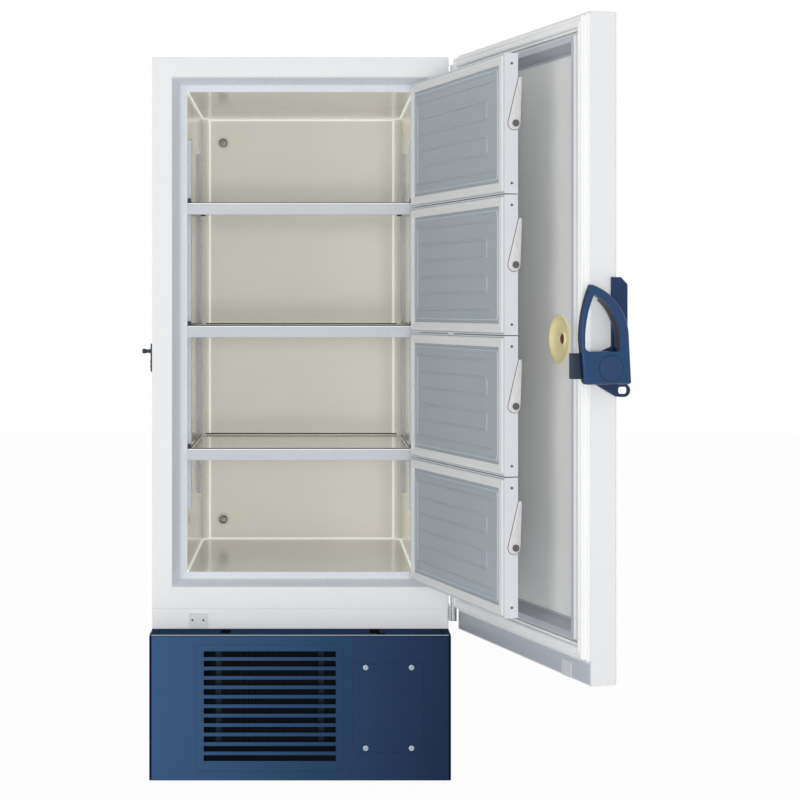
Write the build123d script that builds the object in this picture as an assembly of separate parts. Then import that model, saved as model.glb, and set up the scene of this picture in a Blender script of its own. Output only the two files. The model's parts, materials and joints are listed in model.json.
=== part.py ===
from build123d import *
import os
from math import cos, radians, sin

# An upright ultra low temperature freezer, shown with its outer door and four inner doors open.
# Sizes are in mm. X runs along the front, left to right, Y runs into the cabinet from its front
# face, and Z runs up from the floor. Doors are modelled shut and then swung open.

# Cabinet shell, front frame and insulated box
CABINET_WIDTH = 815
CABINET_DEPTH = 870
CABINET_TOP = 1980
CABINET_BOTTOM = 410
SHELL_SHEET = 1.2
SHELL_EDGE = 3
FRONT_FRAME = 55.5
LOWER_FRAME = 115
RAIL_HEIGHT = 56
SEAM = 0.6
FIT = 0.3

# Collar between the front frame and the liner: a bevel, then a flat land for the inner doors
COLLAR_DEPTH = 42
COLLAR_WALL = 3
SIDE_BEVEL = 20
END_BEVEL = 18
SIDE_LAND = 19
END_LAND = 17

# Liner, its ports and the cooling tube behind it
BACK_WALL = 95
LINER_SHEET = 1.2
LINER_CORNER = 22
PORT_FROM_SIDE = 65
PORT_FROM_TOP = 76
PORT_FROM_BOTTOM = 63
PORT_BORE = 14
PORT_WALL = 3
PORT_FLANGE = 20.5
PORT_FLANGE_THICK = 2.5
PLUG_HEAD = 10
COIL_TUBE = 4.5
COIL_HEADER = 6.5
COIL_PASSES = 9
COIL_FRONT = 60
COIL_MARGIN = 25

# Shelves and their slotted standards
COMPARTMENTS = 4
SHELF_STRIP = 31
STRIP_SHEET = 2
STRIP_RETURN = 5
TRAY_SHEET = 1.5
TRAY_BACK_GAP = 125.4
TRAY_UPSTAND = 15
TRAY_LIP = 18
STANDARD_PROUD = 8
STANDARD_WIDTH = 25
STANDARD_FROM_FRONT = 48
STANDARD_FROM_BACK = 230
STANDARD_ABOVE_FLOOR = 170
STANDARD_BELOW_TOP = 131.5
SLOT_PITCH = 25
SLOT_HEIGHT = 12
SLOT_WIDTH = 5
SLOT_DEPTH = 4
CLIP_WIDTH = 16
CLIP_REACH = 14
CLIP_HEIGHT = 9

# Outer door
DOOR_OPEN = 107.5
DOOR_THICK = 66
DOOR_GAP = 21
DOOR_LIFT = 4
DOOR_EDGE = 5
DOOR_HINGE_OUT = 13
DOOR_HINGE_Y = -12
GASKET_INSET = 4.5
GASKET_WIDTH = 35
GASKET_BULB_INSET = 5
GASKET_BASE = 9
GASKET_FREE = 0.5
RIM_START = 41.5
RIM_STEP_TREAD = 8
RIM_STEP_RISE = 9
RIM_CREST_TREAD = 15
RIM_CREST_GAP = 1
DOOR_SKIN = 3
PANEL_RECESS = 20
PANEL_RIB_INSET = 22
PANEL_RIB = 4
PANEL_RIB_RISE = 1.5
VENT_FROM_EDGE = 214.5
VENT_Z = 1216
VENT_RADIUS = 60
VENT_LIP = 3
VENT_DISH = 10
VENT_FLAT = 6
VENT_CORE = 12.5
VENT_WALL = 2
VENT_HUB = 6
VENT_CAP = 12
DISPLAY_WIDTH = 250
DISPLAY_HEIGHT = 140
DISPLAY_Z = 1600
DISPLAY_PROUD = 4
DISPLAY_CORNER = 12
DISPLAY_EDGE = 1.3

# Outer door hinges
HINGE_LEAF = 4
HINGE_KNUCKLE = 9
HINGE_HEIGHT = 82
HINGE_PIN = 5
HINGE_PLAY = 0.06
HINGE_LIFT = 0.4
HINGE_LEAF_DEPTH = 58
HINGE_WEB = 10
HINGE_END_GAP = 24

# Door handle, its bracket and the keeper on the cabinet
HANDLE_PIVOT_Y = -48
HANDLE_PIVOT_Z = 1152
HANDLE_DEPTH = 39.5
HANDLE_BAR = 22
HANDLE_REAR = 85
HANDLE_FRONT = 48
HANDLE_RISE = 194
HANDLE_DROP = 37
HANDLE_OPENING_RISE = 39
HANDLE_OPENING_SHIFT = 5.5
HANDLE_CORNER = 5.5
HANDLE_BOSS = 30
HANDLE_BOSS_PROUD = 4
HANDLE_PIN = 9
HANDLE_EDGE = 4
REAR_BOW = (0.06, 0.5)  # middle of the sail's rear arc, in widths and rises
FRONT_BOW = (0.24, 0.66)  # middle of the sail's front arc
BRACKET_PLATE = 8
BRACKET_GAP = 1
BRACKET_PROUD = 24
BRACKET_WRAP = 50
BRACKET_RISE = 211
BRACKET_DROP = 52
BRACKET_CHAMFER = 14
EYE_REACH = 31
EYE_WIDTH = 50
EYE_HEIGHT = 29
EYE_HOLE_WIDTH = 23
EYE_HOLE_HEIGHT = 17
KEEPER_PIN = 9
KEEPER_Y = 38
KEEPER_RISE = 20
KEEPER_REACH = 23
KEEPER_PLATE = 5.5
KEEPER_WIDTH = 46
KEEPER_ABOVE = 21
KEEPER_BELOW = 57
KEEPER_SCREW_PITCH = 14
CLAW_CLEAR = 3.5
CLAW_WALL = 5.5
CLAW_BELOW = 43
CLAW_DEPTH = 23.5
SCREW_HEAD = 6
SCREW_HEAD_THICK = 2.5

# Magnetic contact plates on the rail and on the outer door
PLATE_WIDTH = 50
PLATE_HEIGHT = 38
PLATE_THICK = 4
PLATE_FROM_SIDE = 126.5
PLATE_FROM_BOTTOM = 24
PLATE_HOLE = 3
PLATE_HOLE_SPACING = 30

# Inner doors
INNER_OPEN = 106.7
INNER_THICK = 36
INNER_WALL = 2.5
INNER_EDGE = 2
INNER_SIDE_INSET = 3
INNER_END_INSET = 2
INNER_GAP = 2.6
INNER_PANEL = 2.5
INNER_PLATEAU_INSET = 36
INNER_PLATEAU = 1.5
INNER_RIB = 6
INNER_RIB_RISE = 2
INNER_RIB_END = 60.2
INNER_RIB_LINES = 6
INNER_C_FROM_HINGE = 50
INNER_C_TO_FREE = 80
INNER_LOOP_FROM_HINGE = 92
INNER_LOOP_TO_FREE = 115
SEAL_INSET = 5
SEAL_WIDTH = 22
SEAL_BULB_INSET = 3
SEAL_BULB_WIDTH = 10
SEAL_BASE = 2.5
SEAL_FREE = 0.3
INNER_HINGE_OUT = 5
INNER_HINGE_Y = 4
INNER_ROD = 3.5
INNER_KNUCKLE = 6
INNER_KNUCKLE_HEIGHT = 40
INNER_PLAY = 0.08
INNER_BRACKET = 1.6

# Latch levers on the free edges of the inner doors
LATCH_Y = 9
LATCH_END = 17
LATCH_TIP = 4
LATCH_RISE = 115
LATCH_THICK = 4
LATCH_STANDOFF = 0.5
LATCH_STUD = 5
LATCH_HEAD = 8
LATCH_HEAD_THICK = 2.5

# Base with the refrigeration plant
BASE_SHEET = 2
FLOOR_GAP = 15
LEDGE_DROP = 2
BASE_CORNER = 9
DECK_Z = 105
DECK_SHEET = 3
BASE_RAIL = 40
BASE_RAIL_THICK = 6
GRILLE_X = -82
GRILLE_WIDTH = 394
GRILLE_BOTTOM = 40
GRILLE_HEIGHT = 341
GRILLE_CORNER = 8
GRILLE_SLOTS = 12
GRILLE_SLOT_WIDTH = 357
GRILLE_SLOT_HEIGHT = 16
GRILLE_PITCH = 25.5
GRILLE_FIRST_SLOT = 17
GRILLE_FLANGE = 5
COVER_X = 239
COVER_WIDTH = 190
COVER_BOTTOM = 92
COVER_HEIGHT = 238
COVER_FLANGE = 16
COVER_CORNER = 4
COVER_SCREW_SIDE = 33
COVER_SCREW_END = 10
COVER_SCREW_HEAD = 7.5
COVER_SCREW_SHANK = 3
COVER_SCREW_EDGE = 1.2
STRUT_WIDTH = 16
CONDENSER_WIDTH = 262
CONDENSER_HEIGHT = 262
CONDENSER_DEPTH = 58
CONDENSER_SETBACK = 21
FIN_PITCH = 8
FIN_GAP = 5
FIN_DEPTH = 12
FAN_RADIUS = 108
FAN_CLEAR = 6
FAN_HUB = 26
FAN_BLADES = 5
FAN_BLADE_THICK = 3
FAN_BLADE_ROOT = 4
FAN_BLADE_TWIST = 35
FAN_WIDTH = 26
FAN_STANDOFF = 8
SHROUD = 4
FAN_ARM = 8
MOTOR_RADIUS = 40
MOTOR_LENGTH = 70
FAN_SHAFT = 5
FAN_PLAY = 0.06
COMPRESSOR_RADIUS = 92
COMPRESSOR_HEIGHT = 225
COMPRESSOR_DOME = 40
COMPRESSOR_X = 190
COMPRESSOR_Y = 430
COMPRESSOR_FOOT = 6
CONTROL_DEPTH = 120
CONTROL_HEIGHT = 230
CONTROL_SIDE = 10
CONTROL_WALL = 2
REAR_SLOTS = 9
REAR_SLOT_HEIGHT = 10
REAR_PITCH = 24
REAR_MARGIN = 40
INLET_WIDTH = 48
INLET_HEIGHT = 34
INLET_PROUD = 6
INLET_X = 300
INLET_WALL = 6
INLET_POCKET = 4
INLET_CORNER = 3

# Casters at the back and levelling feet at the front
WHEEL_RADIUS = 37.5
WHEEL_WIDTH = 30
WHEEL_EDGE = 5
AXLE = 6
WHEEL_PLAY = 0.06
FORK_PLATE = 4
FORK_EYE = 12
FORK_CLEAR = 1.5
CASTER_INSET = 78
CASTER_FROM_BACK = 90
FOOT_INSET = 68
FOOT_Y = 10
FOOT_PAD = 25
FOOT_THICK = 12
FOOT_EDGE = 4
FOOT_STEM = 8
FOOT_BOSS = 16
FOOT_BOSS_HEIGHT = 40
FOOT_PLAY = 0.06

# Places worked out from the sizes above
half = CABINET_WIDTH / 2
plate_x = PLATE_FROM_SIDE - half
vent_x = VENT_FROM_EDGE - half
collar_front = (half - FRONT_FRAME, CABINET_BOTTOM + LOWER_FRAME, CABINET_TOP - FRONT_FRAME)
land_outer = (collar_front[0] - SIDE_BEVEL, collar_front[1] + END_BEVEL, collar_front[2] - END_BEVEL)
liner_half = land_outer[0] - SIDE_LAND
liner_z0 = land_outer[1] + END_LAND
liner_z1 = land_outer[2] - END_LAND
liner_y0 = COLLAR_DEPTH + COLLAR_WALL
liner_y1 = CABINET_DEPTH - BACK_WALL
port_x = PORT_FROM_SIDE - liner_half
port_heights = (liner_z1 - PORT_FROM_TOP, liner_z0 + PORT_FROM_BOTTOM)

door_y1 = -DOOR_GAP
door_y0 = door_y1 - DOOR_THICK
door_z0 = CABINET_BOTTOM + DOOR_LIFT
rim_z0 = CABINET_BOTTOM + RAIL_HEIGHT
panel_inset = RIM_START + RIM_STEP_TREAD + RIM_CREST_TREAD
panel_y = door_y1 - PANEL_RECESS
door_axis = (half + DOOR_HINGE_OUT, DOOR_HINGE_Y)

inner_half = land_outer[0] - INNER_SIDE_INSET
stack_z0 = land_outer[1] + INNER_END_INSET
stack_z1 = land_outer[2] - INNER_END_INSET
inner_height = (stack_z1 - stack_z0 - (COMPARTMENTS - 1) * INNER_GAP) / COMPARTMENTS
inner_pitch = inner_height + INNER_GAP
inner_axis = (inner_half + INNER_HINGE_OUT, INNER_HINGE_Y)
shelf_centres = [stack_z1 - inner_pitch * n + INNER_GAP / 2 for n in range(1, COMPARTMENTS)]

base_y0 = door_y0
ledge_z = CABINET_BOTTOM - LEDGE_DROP
deck_top = DECK_Z + DECK_SHEET
plate_z = CABINET_BOTTOM + PLATE_FROM_BOTTOM
left_edge = -half
condenser_y0 = base_y0 + CONDENSER_SETBACK
condenser_y1 = condenser_y0 + CONDENSER_DEPTH
fan_z = deck_top + CONDENSER_HEIGHT / 2


def block(x0, x1, y0, y1, z0, z1):
    return Pos((x0 + x1) / 2, (y0 + y1) / 2, (z0 + z1) / 2) * Box(x1 - x0, y1 - y0, z1 - z0)


def prism_x(profile, x0, x1):
    return extrude(Plane.YZ.offset(x0) * profile, amount=x1 - x0)


def prism_y(profile, y0, y1):
    return extrude(Plane.XZ.offset(-y1) * profile, amount=y1 - y0)


def prism_z(profile, z0, z1):
    return extrude(Pos(0, 0, z0) * profile, amount=z1 - z0)


def rod_x(radius, x0, x1, y, z):
    return prism_x(Pos(y, z) * Circle(radius), x0, x1)


def rod_y(radius, y0, y1, x, z):
    return prism_y(Pos(x, z) * Circle(radius), y0, y1)


def rod_z(radius, z0, z1, x, y):
    return prism_z(Pos(x, y) * Circle(radius), z0, z1)


def frame_block(frame, y0, y1):
    return block(-frame[0], frame[0], y0, y1, frame[1], frame[2])


def grown(frame, amount):
    return (frame[0] + amount, frame[1] - amount, frame[2] + amount)


def frustum(front, y0, back, y1):
    wires = []
    for (reach, z0, z1), y in ((front, y0), (back, y1)):
        corners = [(-reach, y, z0), (reach, y, z0), (reach, y, z1), (-reach, y, z1)]
        wires.append(Wire.make_polygon(corners, close=True))
    return Solid.make_loft(wires, ruled=True)


def swung(shape, axis, angle):
    return Pos(axis[0], axis[1], 0) * Rot(0, 0, angle) * Pos(-axis[0], -axis[1], 0) * shape


def save(name, *shapes):
    solids = [solid for shape in shapes for solid in shape.solids()]
    export_step(Compound(solids), f"parts/{name}.step")


def save_on_door(name, *shapes):
    save(name, *[swung(shape, door_axis, DOOR_OPEN) for shape in shapes])


def save_on_inner(name, *shapes):
    save(name, *[swung(shape, inner_axis, INNER_OPEN) for shape in shapes])


# Cabinet shell and front rail

def port_rods(radius, y0, y1):
    return [rod_y(radius, y0, y1, port_x, z) for z in port_heights]


def make_cabinet_shell():
    outer = block(-half, half, 0, CABINET_DEPTH, CABINET_BOTTOM, CABINET_TOP)
    outer = fillet(outer.edges().filter_by(Axis.Z) + outer.edges().group_by(Axis.Z)[-1], SHELL_EDGE)
    inner = block(-half + SHELL_SHEET, half - SHELL_SHEET, SHELL_SHEET, CABINET_DEPTH - SHELL_SHEET,
                  CABINET_BOTTOM + SHELL_SHEET, CABINET_TOP - SHELL_SHEET)
    opening = frame_block(grown(collar_front, COLLAR_WALL + SEAM), 0, SHELL_SHEET)
    rail_notch = block(-half + SHELL_EDGE, half - SHELL_EDGE, 0, SHELL_SHEET,
                       CABINET_BOTTOM + SHELL_SHEET, rim_z0)
    ports = port_rods(PORT_BORE + PORT_WALL + FIT, CABINET_DEPTH - SHELL_SHEET, CABINET_DEPTH)
    return outer - inner - opening - rail_notch - ports


def make_front_rail():
    reach = half - SHELL_EDGE - SEAM
    return block(-reach, reach, 0, SHELL_SHEET, CABINET_BOTTOM + SHELL_SHEET + SEAM, rim_z0 - SEAM)


def contact_plate(y0):
    plate = block(plate_x - PLATE_WIDTH / 2, plate_x + PLATE_WIDTH / 2, y0, y0 + PLATE_THICK,
                  plate_z - PLATE_HEIGHT / 2, plate_z + PLATE_HEIGHT / 2)
    holes = [rod_y(PLATE_HOLE, y0, y0 + PLATE_THICK, plate_x + side * PLATE_HOLE_SPACING / 2, plate_z)
             for side in (-1, 1)]
    return plate - holes


# Collar, liner, foam and cooling tube

def make_collar():
    back = grown(land_outer, COLLAR_WALL)
    body = frustum(grown(collar_front, COLLAR_WALL), 0, back, liner_y0)
    hollow = frustum(collar_front, 0, land_outer, COLLAR_DEPTH)
    opening = frame_block((liner_half, liner_z0, liner_z1), COLLAR_DEPTH, liner_y0)
    return Part() + body - hollow - opening


def liner_plan(growth):
    width = 2 * (liner_half + growth)
    depth = liner_y1 + growth - liner_y0
    plan = Pos(0, liner_y0 + depth / 2) * Rectangle(width, depth)
    return fillet(plan.vertices().sort_by(Axis.Y)[-2:], LINER_CORNER + growth)


# Five sheets that meet at sealed seams: floor, ceiling, two sides, and a back bent forward at its edges
def make_liner():
    plan = liner_plan(LINER_SHEET)
    outside = liner_half + LINER_SHEET
    floor = prism_z(plan, liner_z0 - LINER_SHEET, liner_z0)
    ceiling = prism_z(plan, liner_z1, liner_z1 + LINER_SHEET)
    wall_z0 = liner_z0 + FIT
    wall_z1 = liner_z1 - FIT
    bend_y = liner_y1 - LINER_CORNER
    left = block(-outside, -liner_half, liner_y0, bend_y - FIT, wall_z0, wall_z1)
    right = block(liner_half, outside, liner_y0, bend_y - FIT, wall_z0, wall_z1)
    back = prism_z(plan - liner_plan(0), wall_z0, wall_z1)
    back -= block(-outside, outside, liner_y0, bend_y, wall_z0, wall_z1)
    back -= port_rods(PORT_BORE + PORT_WALL + FIT, liner_y1, liner_y1 + LINER_SHEET)
    return floor, ceiling, left, right, back


coil_offset = LINER_SHEET + FIT + COIL_HEADER
coil_reach = liner_half + coil_offset
coil_high = port_heights[0] - PORT_FLANGE - COIL_MARGIN
coil_low = port_heights[1] + PORT_FLANGE + COIL_MARGIN
coil_step = (coil_high - coil_low) / (COIL_PASSES - 1)
coil_heights = [coil_low + coil_step * n for n in range(COIL_PASSES)]
coil_front = liner_y0 + COIL_FRONT


def make_coil():
    back = liner_y1 + coil_offset
    coil = Part()
    for z in coil_heights:
        corners = [(-coil_reach, coil_front, z), (-coil_reach, back, z),
                   (coil_reach, back, z), (coil_reach, coil_front, z)]
        path = FilletPolyline(*corners, radius=LINER_CORNER + coil_offset)
        section = Plane(origin=corners[0], z_dir=(0, 1, 0)) * Circle(COIL_TUBE)
        coil += sweep(section, path=path)
    for side in (-1, 1):
        coil += rod_z(COIL_HEADER, coil_low - COIL_HEADER, coil_high + COIL_HEADER,
                      side * coil_reach, coil_front)
    return coil


def make_foam():
    foam = block(-half + SHELL_SHEET, half - SHELL_SHEET, SHELL_SHEET, CABINET_DEPTH - SHELL_SHEET,
                 CABINET_BOTTOM + SHELL_SHEET, CABINET_TOP - SHELL_SHEET)
    foam -= frustum(grown(collar_front, COLLAR_WALL), 0, grown(land_outer, COLLAR_WALL), liner_y0)
    foam -= prism_z(liner_plan(LINER_SHEET), liner_z0 - LINER_SHEET, liner_z1 + LINER_SHEET)
    groove = COIL_TUBE + FIT
    cuts = [prism_z(liner_plan(coil_offset + groove), z - groove, z + groove) for z in coil_heights]
    groove = COIL_HEADER + FIT
    for side in (-1, 1):
        x = side * coil_reach
        cuts.append(block(x - groove, x + groove, coil_front - groove, coil_front + groove,
                          coil_low - groove, coil_high + groove))
    cuts += port_rods(PORT_BORE + PORT_WALL + FIT, liner_y1, CABINET_DEPTH)
    return foam - cuts


def make_ports():
    sleeves = []
    plugs = []
    outer = PORT_BORE + PORT_WALL
    back = CABINET_DEPTH + PORT_FLANGE_THICK
    for z in port_heights:
        sleeve = rod_y(outer, liner_y1, CABINET_DEPTH, port_x, z)
        sleeve += rod_y(PORT_FLANGE, liner_y1 - PORT_FLANGE_THICK, liner_y1, port_x, z)
        sleeve += rod_y(PORT_FLANGE, CABINET_DEPTH, back, port_x, z)
        sleeves.append(sleeve - rod_y(PORT_BORE, liner_y1 - PORT_FLANGE_THICK, back, port_x, z))
        plug = rod_y(PORT_BORE - FIT, liner_y1 + PORT_FLANGE_THICK, back, port_x, z)
        plugs.append(plug + rod_y(PORT_FLANGE, back, back + PLUG_HEAD, port_x, z))
    return sleeves, plugs


# Shelves

standard_z0 = liner_z0 + STANDARD_ABOVE_FLOOR
standard_z1 = liner_z1 - STANDARD_BELOW_TOP
standard_ys = (COLLAR_DEPTH + STANDARD_FROM_FRONT, liner_y1 - STANDARD_FROM_BACK)
standard_face = liner_half - STANDARD_PROUD
tray_half = standard_face - SEAM
tray_y0 = COLLAR_DEPTH + STRIP_RETURN + SEAM
tray_y1 = liner_y1 - TRAY_BACK_GAP


def make_standards():
    standards = []
    slots = int((standard_z1 - standard_z0) / SLOT_PITCH) - 1
    for y in standard_ys:
        strip = block(standard_face, liner_half, y - STANDARD_WIDTH / 2, y + STANDARD_WIDTH / 2,
                      standard_z0, standard_z1)
        cuts = [block(standard_face, standard_face + SLOT_DEPTH, y - SLOT_WIDTH / 2, y + SLOT_WIDTH / 2,
                      standard_z0 + n * SLOT_PITCH - SLOT_HEIGHT / 2,
                      standard_z0 + n * SLOT_PITCH + SLOT_HEIGHT / 2) for n in range(1, slots + 1)]
        strip -= cuts
        standards += [strip, mirror(strip, about=Plane.YZ)]
    return standards


def make_clips():
    clips = []
    for centre in shelf_centres:
        top = centre + SHELF_STRIP / 2 - TRAY_SHEET
        for y in standard_ys:
            for side in (-1, 1):
                near, far = sorted((side * standard_face, side * (standard_face - CLIP_REACH)))
                clips.append(block(near, far, y - CLIP_WIDTH / 2, y + CLIP_WIDTH / 2,
                                   top - CLIP_HEIGHT, top))
    return clips


def make_tray(centre):
    top = centre + SHELF_STRIP / 2
    tray = block(-tray_half, tray_half, tray_y0, tray_y1, top - TRAY_SHEET, top)
    for side in (-1, 1):
        near, far = sorted((side * tray_half, side * (tray_half - TRAY_SHEET)))
        tray += block(near, far, tray_y0, tray_y1, top, top + TRAY_UPSTAND)
    tray += block(-tray_half, tray_half, tray_y1 - TRAY_SHEET, tray_y1, top, top + TRAY_UPSTAND)
    tray += block(-tray_half, tray_half, tray_y0, tray_y0 + TRAY_SHEET, top - TRAY_LIP, top)
    return tray


def make_shelf_front(centre):
    reach = liner_half - FIT
    y1 = COLLAR_DEPTH + STRIP_SHEET
    strip = block(-reach, reach, COLLAR_DEPTH, y1, centre - SHELF_STRIP / 2, centre + SHELF_STRIP / 2)
    for z in (centre - SHELF_STRIP / 2, centre + SHELF_STRIP / 2 - STRIP_SHEET):
        strip += block(-reach, reach, y1, COLLAR_DEPTH + STRIP_RETURN, z, z + STRIP_SHEET)
    return strip


# Outer door

def door_frame(inset):
    return (half - inset, rim_z0 + inset, CABINET_TOP - inset)


def door_ring(outer_inset, inner_inset, y0, y1):
    return frame_block(door_frame(outer_inset), y0, y1) - frame_block(door_frame(inner_inset), y0, y1)


def make_door_core(y1):
    core = block(-half + SHELL_SHEET, half - SHELL_SHEET, door_y0 + SHELL_SHEET, y1,
                 door_z0 + SHELL_SHEET, CABINET_TOP - SHELL_SHEET)
    return fillet(core.edges().group_by(Axis.Y)[0], DOOR_EDGE - SHELL_SHEET)


def make_door_shell():
    outer = block(-half, half, door_y0, door_y1, door_z0, CABINET_TOP)
    front_edges = outer.edges().group_by(Axis.Y)[0]
    outer = fillet(front_edges, DOOR_EDGE)
    inner = make_door_core(door_y1 - SHELL_SHEET)
    opening = frame_block(door_frame(GASKET_INSET - SEAM), door_y1 - SHELL_SHEET, door_y1)
    vent = rod_y(VENT_HUB + FIT, door_y0, door_y0 + SHELL_SHEET, vent_x, VENT_Z)
    return outer - inner - opening - vent


def make_door_liner():
    step_y = door_y1 + RIM_STEP_RISE
    step_inset = RIM_START + RIM_STEP_TREAD
    liner = door_ring(GASKET_INSET, panel_inset, door_y1 - DOOR_SKIN, door_y1)
    liner += door_ring(RIM_START, panel_inset, door_y1, step_y)
    liner += door_ring(step_inset, panel_inset, step_y, -RIM_CREST_GAP)
    liner += door_ring(panel_inset - DOOR_SKIN, panel_inset, panel_y - DOOR_SKIN, door_y1)
    return liner


def make_door_panel():
    panel = frame_block(door_frame(panel_inset + FIT), panel_y - DOOR_SKIN, panel_y)
    rib_inset = panel_inset + PANEL_RIB_INSET
    panel += door_ring(rib_inset, rib_inset + PANEL_RIB, panel_y, panel_y + PANEL_RIB_RISE)
    hole = rod_y(VENT_RADIUS - VENT_LIP, panel_y - DOOR_SKIN, panel_y, vent_x, VENT_Z)
    return panel - hole


def make_door_foam():
    foam = make_door_core(door_y1 - DOOR_SKIN)
    foam -= frame_block(door_frame(panel_inset - DOOR_SKIN), panel_y - DOOR_SKIN, door_y1)
    foam -= rod_y(VENT_RADIUS, panel_y - VENT_DISH - VENT_WALL - FIT, panel_y, vent_x, VENT_Z)
    return foam - rod_y(VENT_HUB + FIT, door_y0, panel_y, vent_x, VENT_Z)


def make_door_gasket():
    outer = GASKET_INSET + GASKET_BULB_INSET
    inner = GASKET_INSET + GASKET_WIDTH - GASKET_BULB_INSET
    base_y = door_y1 + GASKET_BASE
    gasket = door_ring(GASKET_INSET + SEAM, GASKET_INSET + GASKET_WIDTH, door_y1, base_y)
    return gasket + door_ring(outer, inner, base_y, -GASKET_FREE)


def make_vent():
    lip_y = panel_y + VENT_LIP
    floor_y = panel_y - VENT_DISH
    brim = VENT_RADIUS - VENT_FLAT
    profile = Polygon((0, floor_y), (VENT_CORE, floor_y), (brim, lip_y), (VENT_RADIUS, lip_y),
                      (VENT_RADIUS, panel_y), (brim, panel_y), (VENT_CORE + VENT_WALL, floor_y - VENT_WALL),
                      (0, floor_y - VENT_WALL), align=None)
    dish = Pos(vent_x, 0, VENT_Z) * revolve(profile, Axis.Y)
    bore = rod_y(VENT_CORE + FIT, floor_y - VENT_WALL, floor_y, vent_x, VENT_Z)
    core = rod_y(VENT_CORE, floor_y - VENT_WALL, floor_y + VENT_LIP, vent_x, VENT_Z)
    core += rod_y(VENT_HUB, door_y0, floor_y - VENT_WALL, vent_x, VENT_Z)
    core += rod_y(VENT_CAP, door_y0 - VENT_WALL, door_y0, vent_x, VENT_Z)
    return dish - bore, core


def make_display():
    outline = Pos(0, DISPLAY_Z) * RectangleRounded(DISPLAY_WIDTH, DISPLAY_HEIGHT, DISPLAY_CORNER)
    plate = prism_y(outline, door_y0 - DISPLAY_PROUD, door_y0)
    return fillet(plate.edges().group_by(Axis.Y)[0], DISPLAY_EDGE)


# Outer door hinges

hinge_bottoms = (door_z0 + HINGE_END_GAP - DOOR_LIFT, CABINET_TOP - HINGE_END_GAP - HINGE_HEIGHT)


def hinge_leaf(z0, z1, y0, y1):
    leaf = block(half, half + HINGE_LEAF, y0, y1, z0, z1)
    leaf += block(half, door_axis[0], door_axis[1] - HINGE_WEB / 2, door_axis[1] + HINGE_WEB / 2, z0, z1)
    return leaf + rod_z(HINGE_KNUCKLE, z0, z1, *door_axis)


def make_cabinet_hinges():
    hinges = []
    for z in hinge_bottoms:
        middle = z + HINGE_HEIGHT / 2
        leaf = hinge_leaf(z, middle, door_axis[1], HINGE_LEAF_DEPTH)
        hinges.append(leaf + rod_z(HINGE_PIN, middle, z + HINGE_HEIGHT - HINGE_LIFT, *door_axis))
    return hinges


def make_door_hinges():
    hinges = []
    for z in hinge_bottoms:
        low = z + HINGE_HEIGHT / 2 + HINGE_LIFT
        high = z + HINGE_HEIGHT
        leaf = hinge_leaf(low, high, door_y1 - HINGE_LEAF_DEPTH, door_axis[1])
        hinges.append(leaf - rod_z(HINGE_PIN + HINGE_PLAY, low, high, *door_axis))
    return hinges


# Handle lever, bracket and keeper

lever_x1 = left_edge - BRACKET_PLATE - BRACKET_GAP
lever_x0 = lever_x1 - HANDLE_DEPTH
keeper_z = HANDLE_PIVOT_Z + KEEPER_RISE


def sail_outline(inset, shift, foot):
    rear = HANDLE_PIVOT_Y + HANDLE_REAR - inset
    front = HANDLE_PIVOT_Y - HANDLE_FRONT + inset
    apex = (HANDLE_PIVOT_Y + HANDLE_FRONT - shift, HANDLE_PIVOT_Z + HANDLE_RISE - inset)
    hip = HANDLE_PIVOT_Z + HANDLE_RISE / 2 - shift
    width = rear - front
    rise = apex[1] - hip
    rear_side = ThreePointArc((rear, hip), (rear - width * REAR_BOW[0], hip + rise * REAR_BOW[1]), apex)
    front_middle = (front + width * FRONT_BOW[0], hip + rise * FRONT_BOW[1])
    front_side = ThreePointArc(apex, front_middle, (front, hip))
    sides = Polyline((front, hip), (front, foot), (rear, foot), (rear, hip))
    outline = make_face(rear_side + front_side + sides)
    return fillet(outline.vertices(), HANDLE_CORNER)


def make_handle():
    foot = HANDLE_PIVOT_Z - HANDLE_DROP
    lever = prism_x(sail_outline(0, 0, foot), lever_x0, lever_x1)
    opening = sail_outline(HANDLE_BAR, HANDLE_OPENING_SHIFT, HANDLE_PIVOT_Z + HANDLE_OPENING_RISE)
    lever -= prism_x(opening, lever_x0, lever_x1)
    lever = fillet(lever.edges().group_by(Axis.X)[0], HANDLE_EDGE)
    lever += rod_x(HANDLE_BOSS, lever_x0 - HANDLE_BOSS_PROUD, lever_x0 + HANDLE_EDGE,
                   HANDLE_PIVOT_Y, HANDLE_PIVOT_Z)
    slot = KEEPER_PIN + CLAW_CLEAR
    claw_x0 = lever_x1 - CLAW_DEPTH
    lever += block(claw_x0, lever_x1, HANDLE_PIVOT_Y + HANDLE_REAR - CLAW_WALL - HANDLE_BAR / 2,
                   KEEPER_Y + slot + CLAW_WALL, keeper_z - CLAW_BELOW, keeper_z + slot + CLAW_WALL)
    lever -= block(lever_x0, lever_x1, KEEPER_Y - slot, KEEPER_Y + slot, keeper_z - CLAW_BELOW, keeper_z)
    lever -= rod_x(slot, lever_x0, lever_x1, KEEPER_Y, keeper_z)
    bore_end = lever_x0 + HANDLE_PIN
    return lever - rod_x(HANDLE_PIN + HINGE_PLAY, bore_end, lever_x1, HANDLE_PIVOT_Y, HANDLE_PIVOT_Z)


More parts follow.
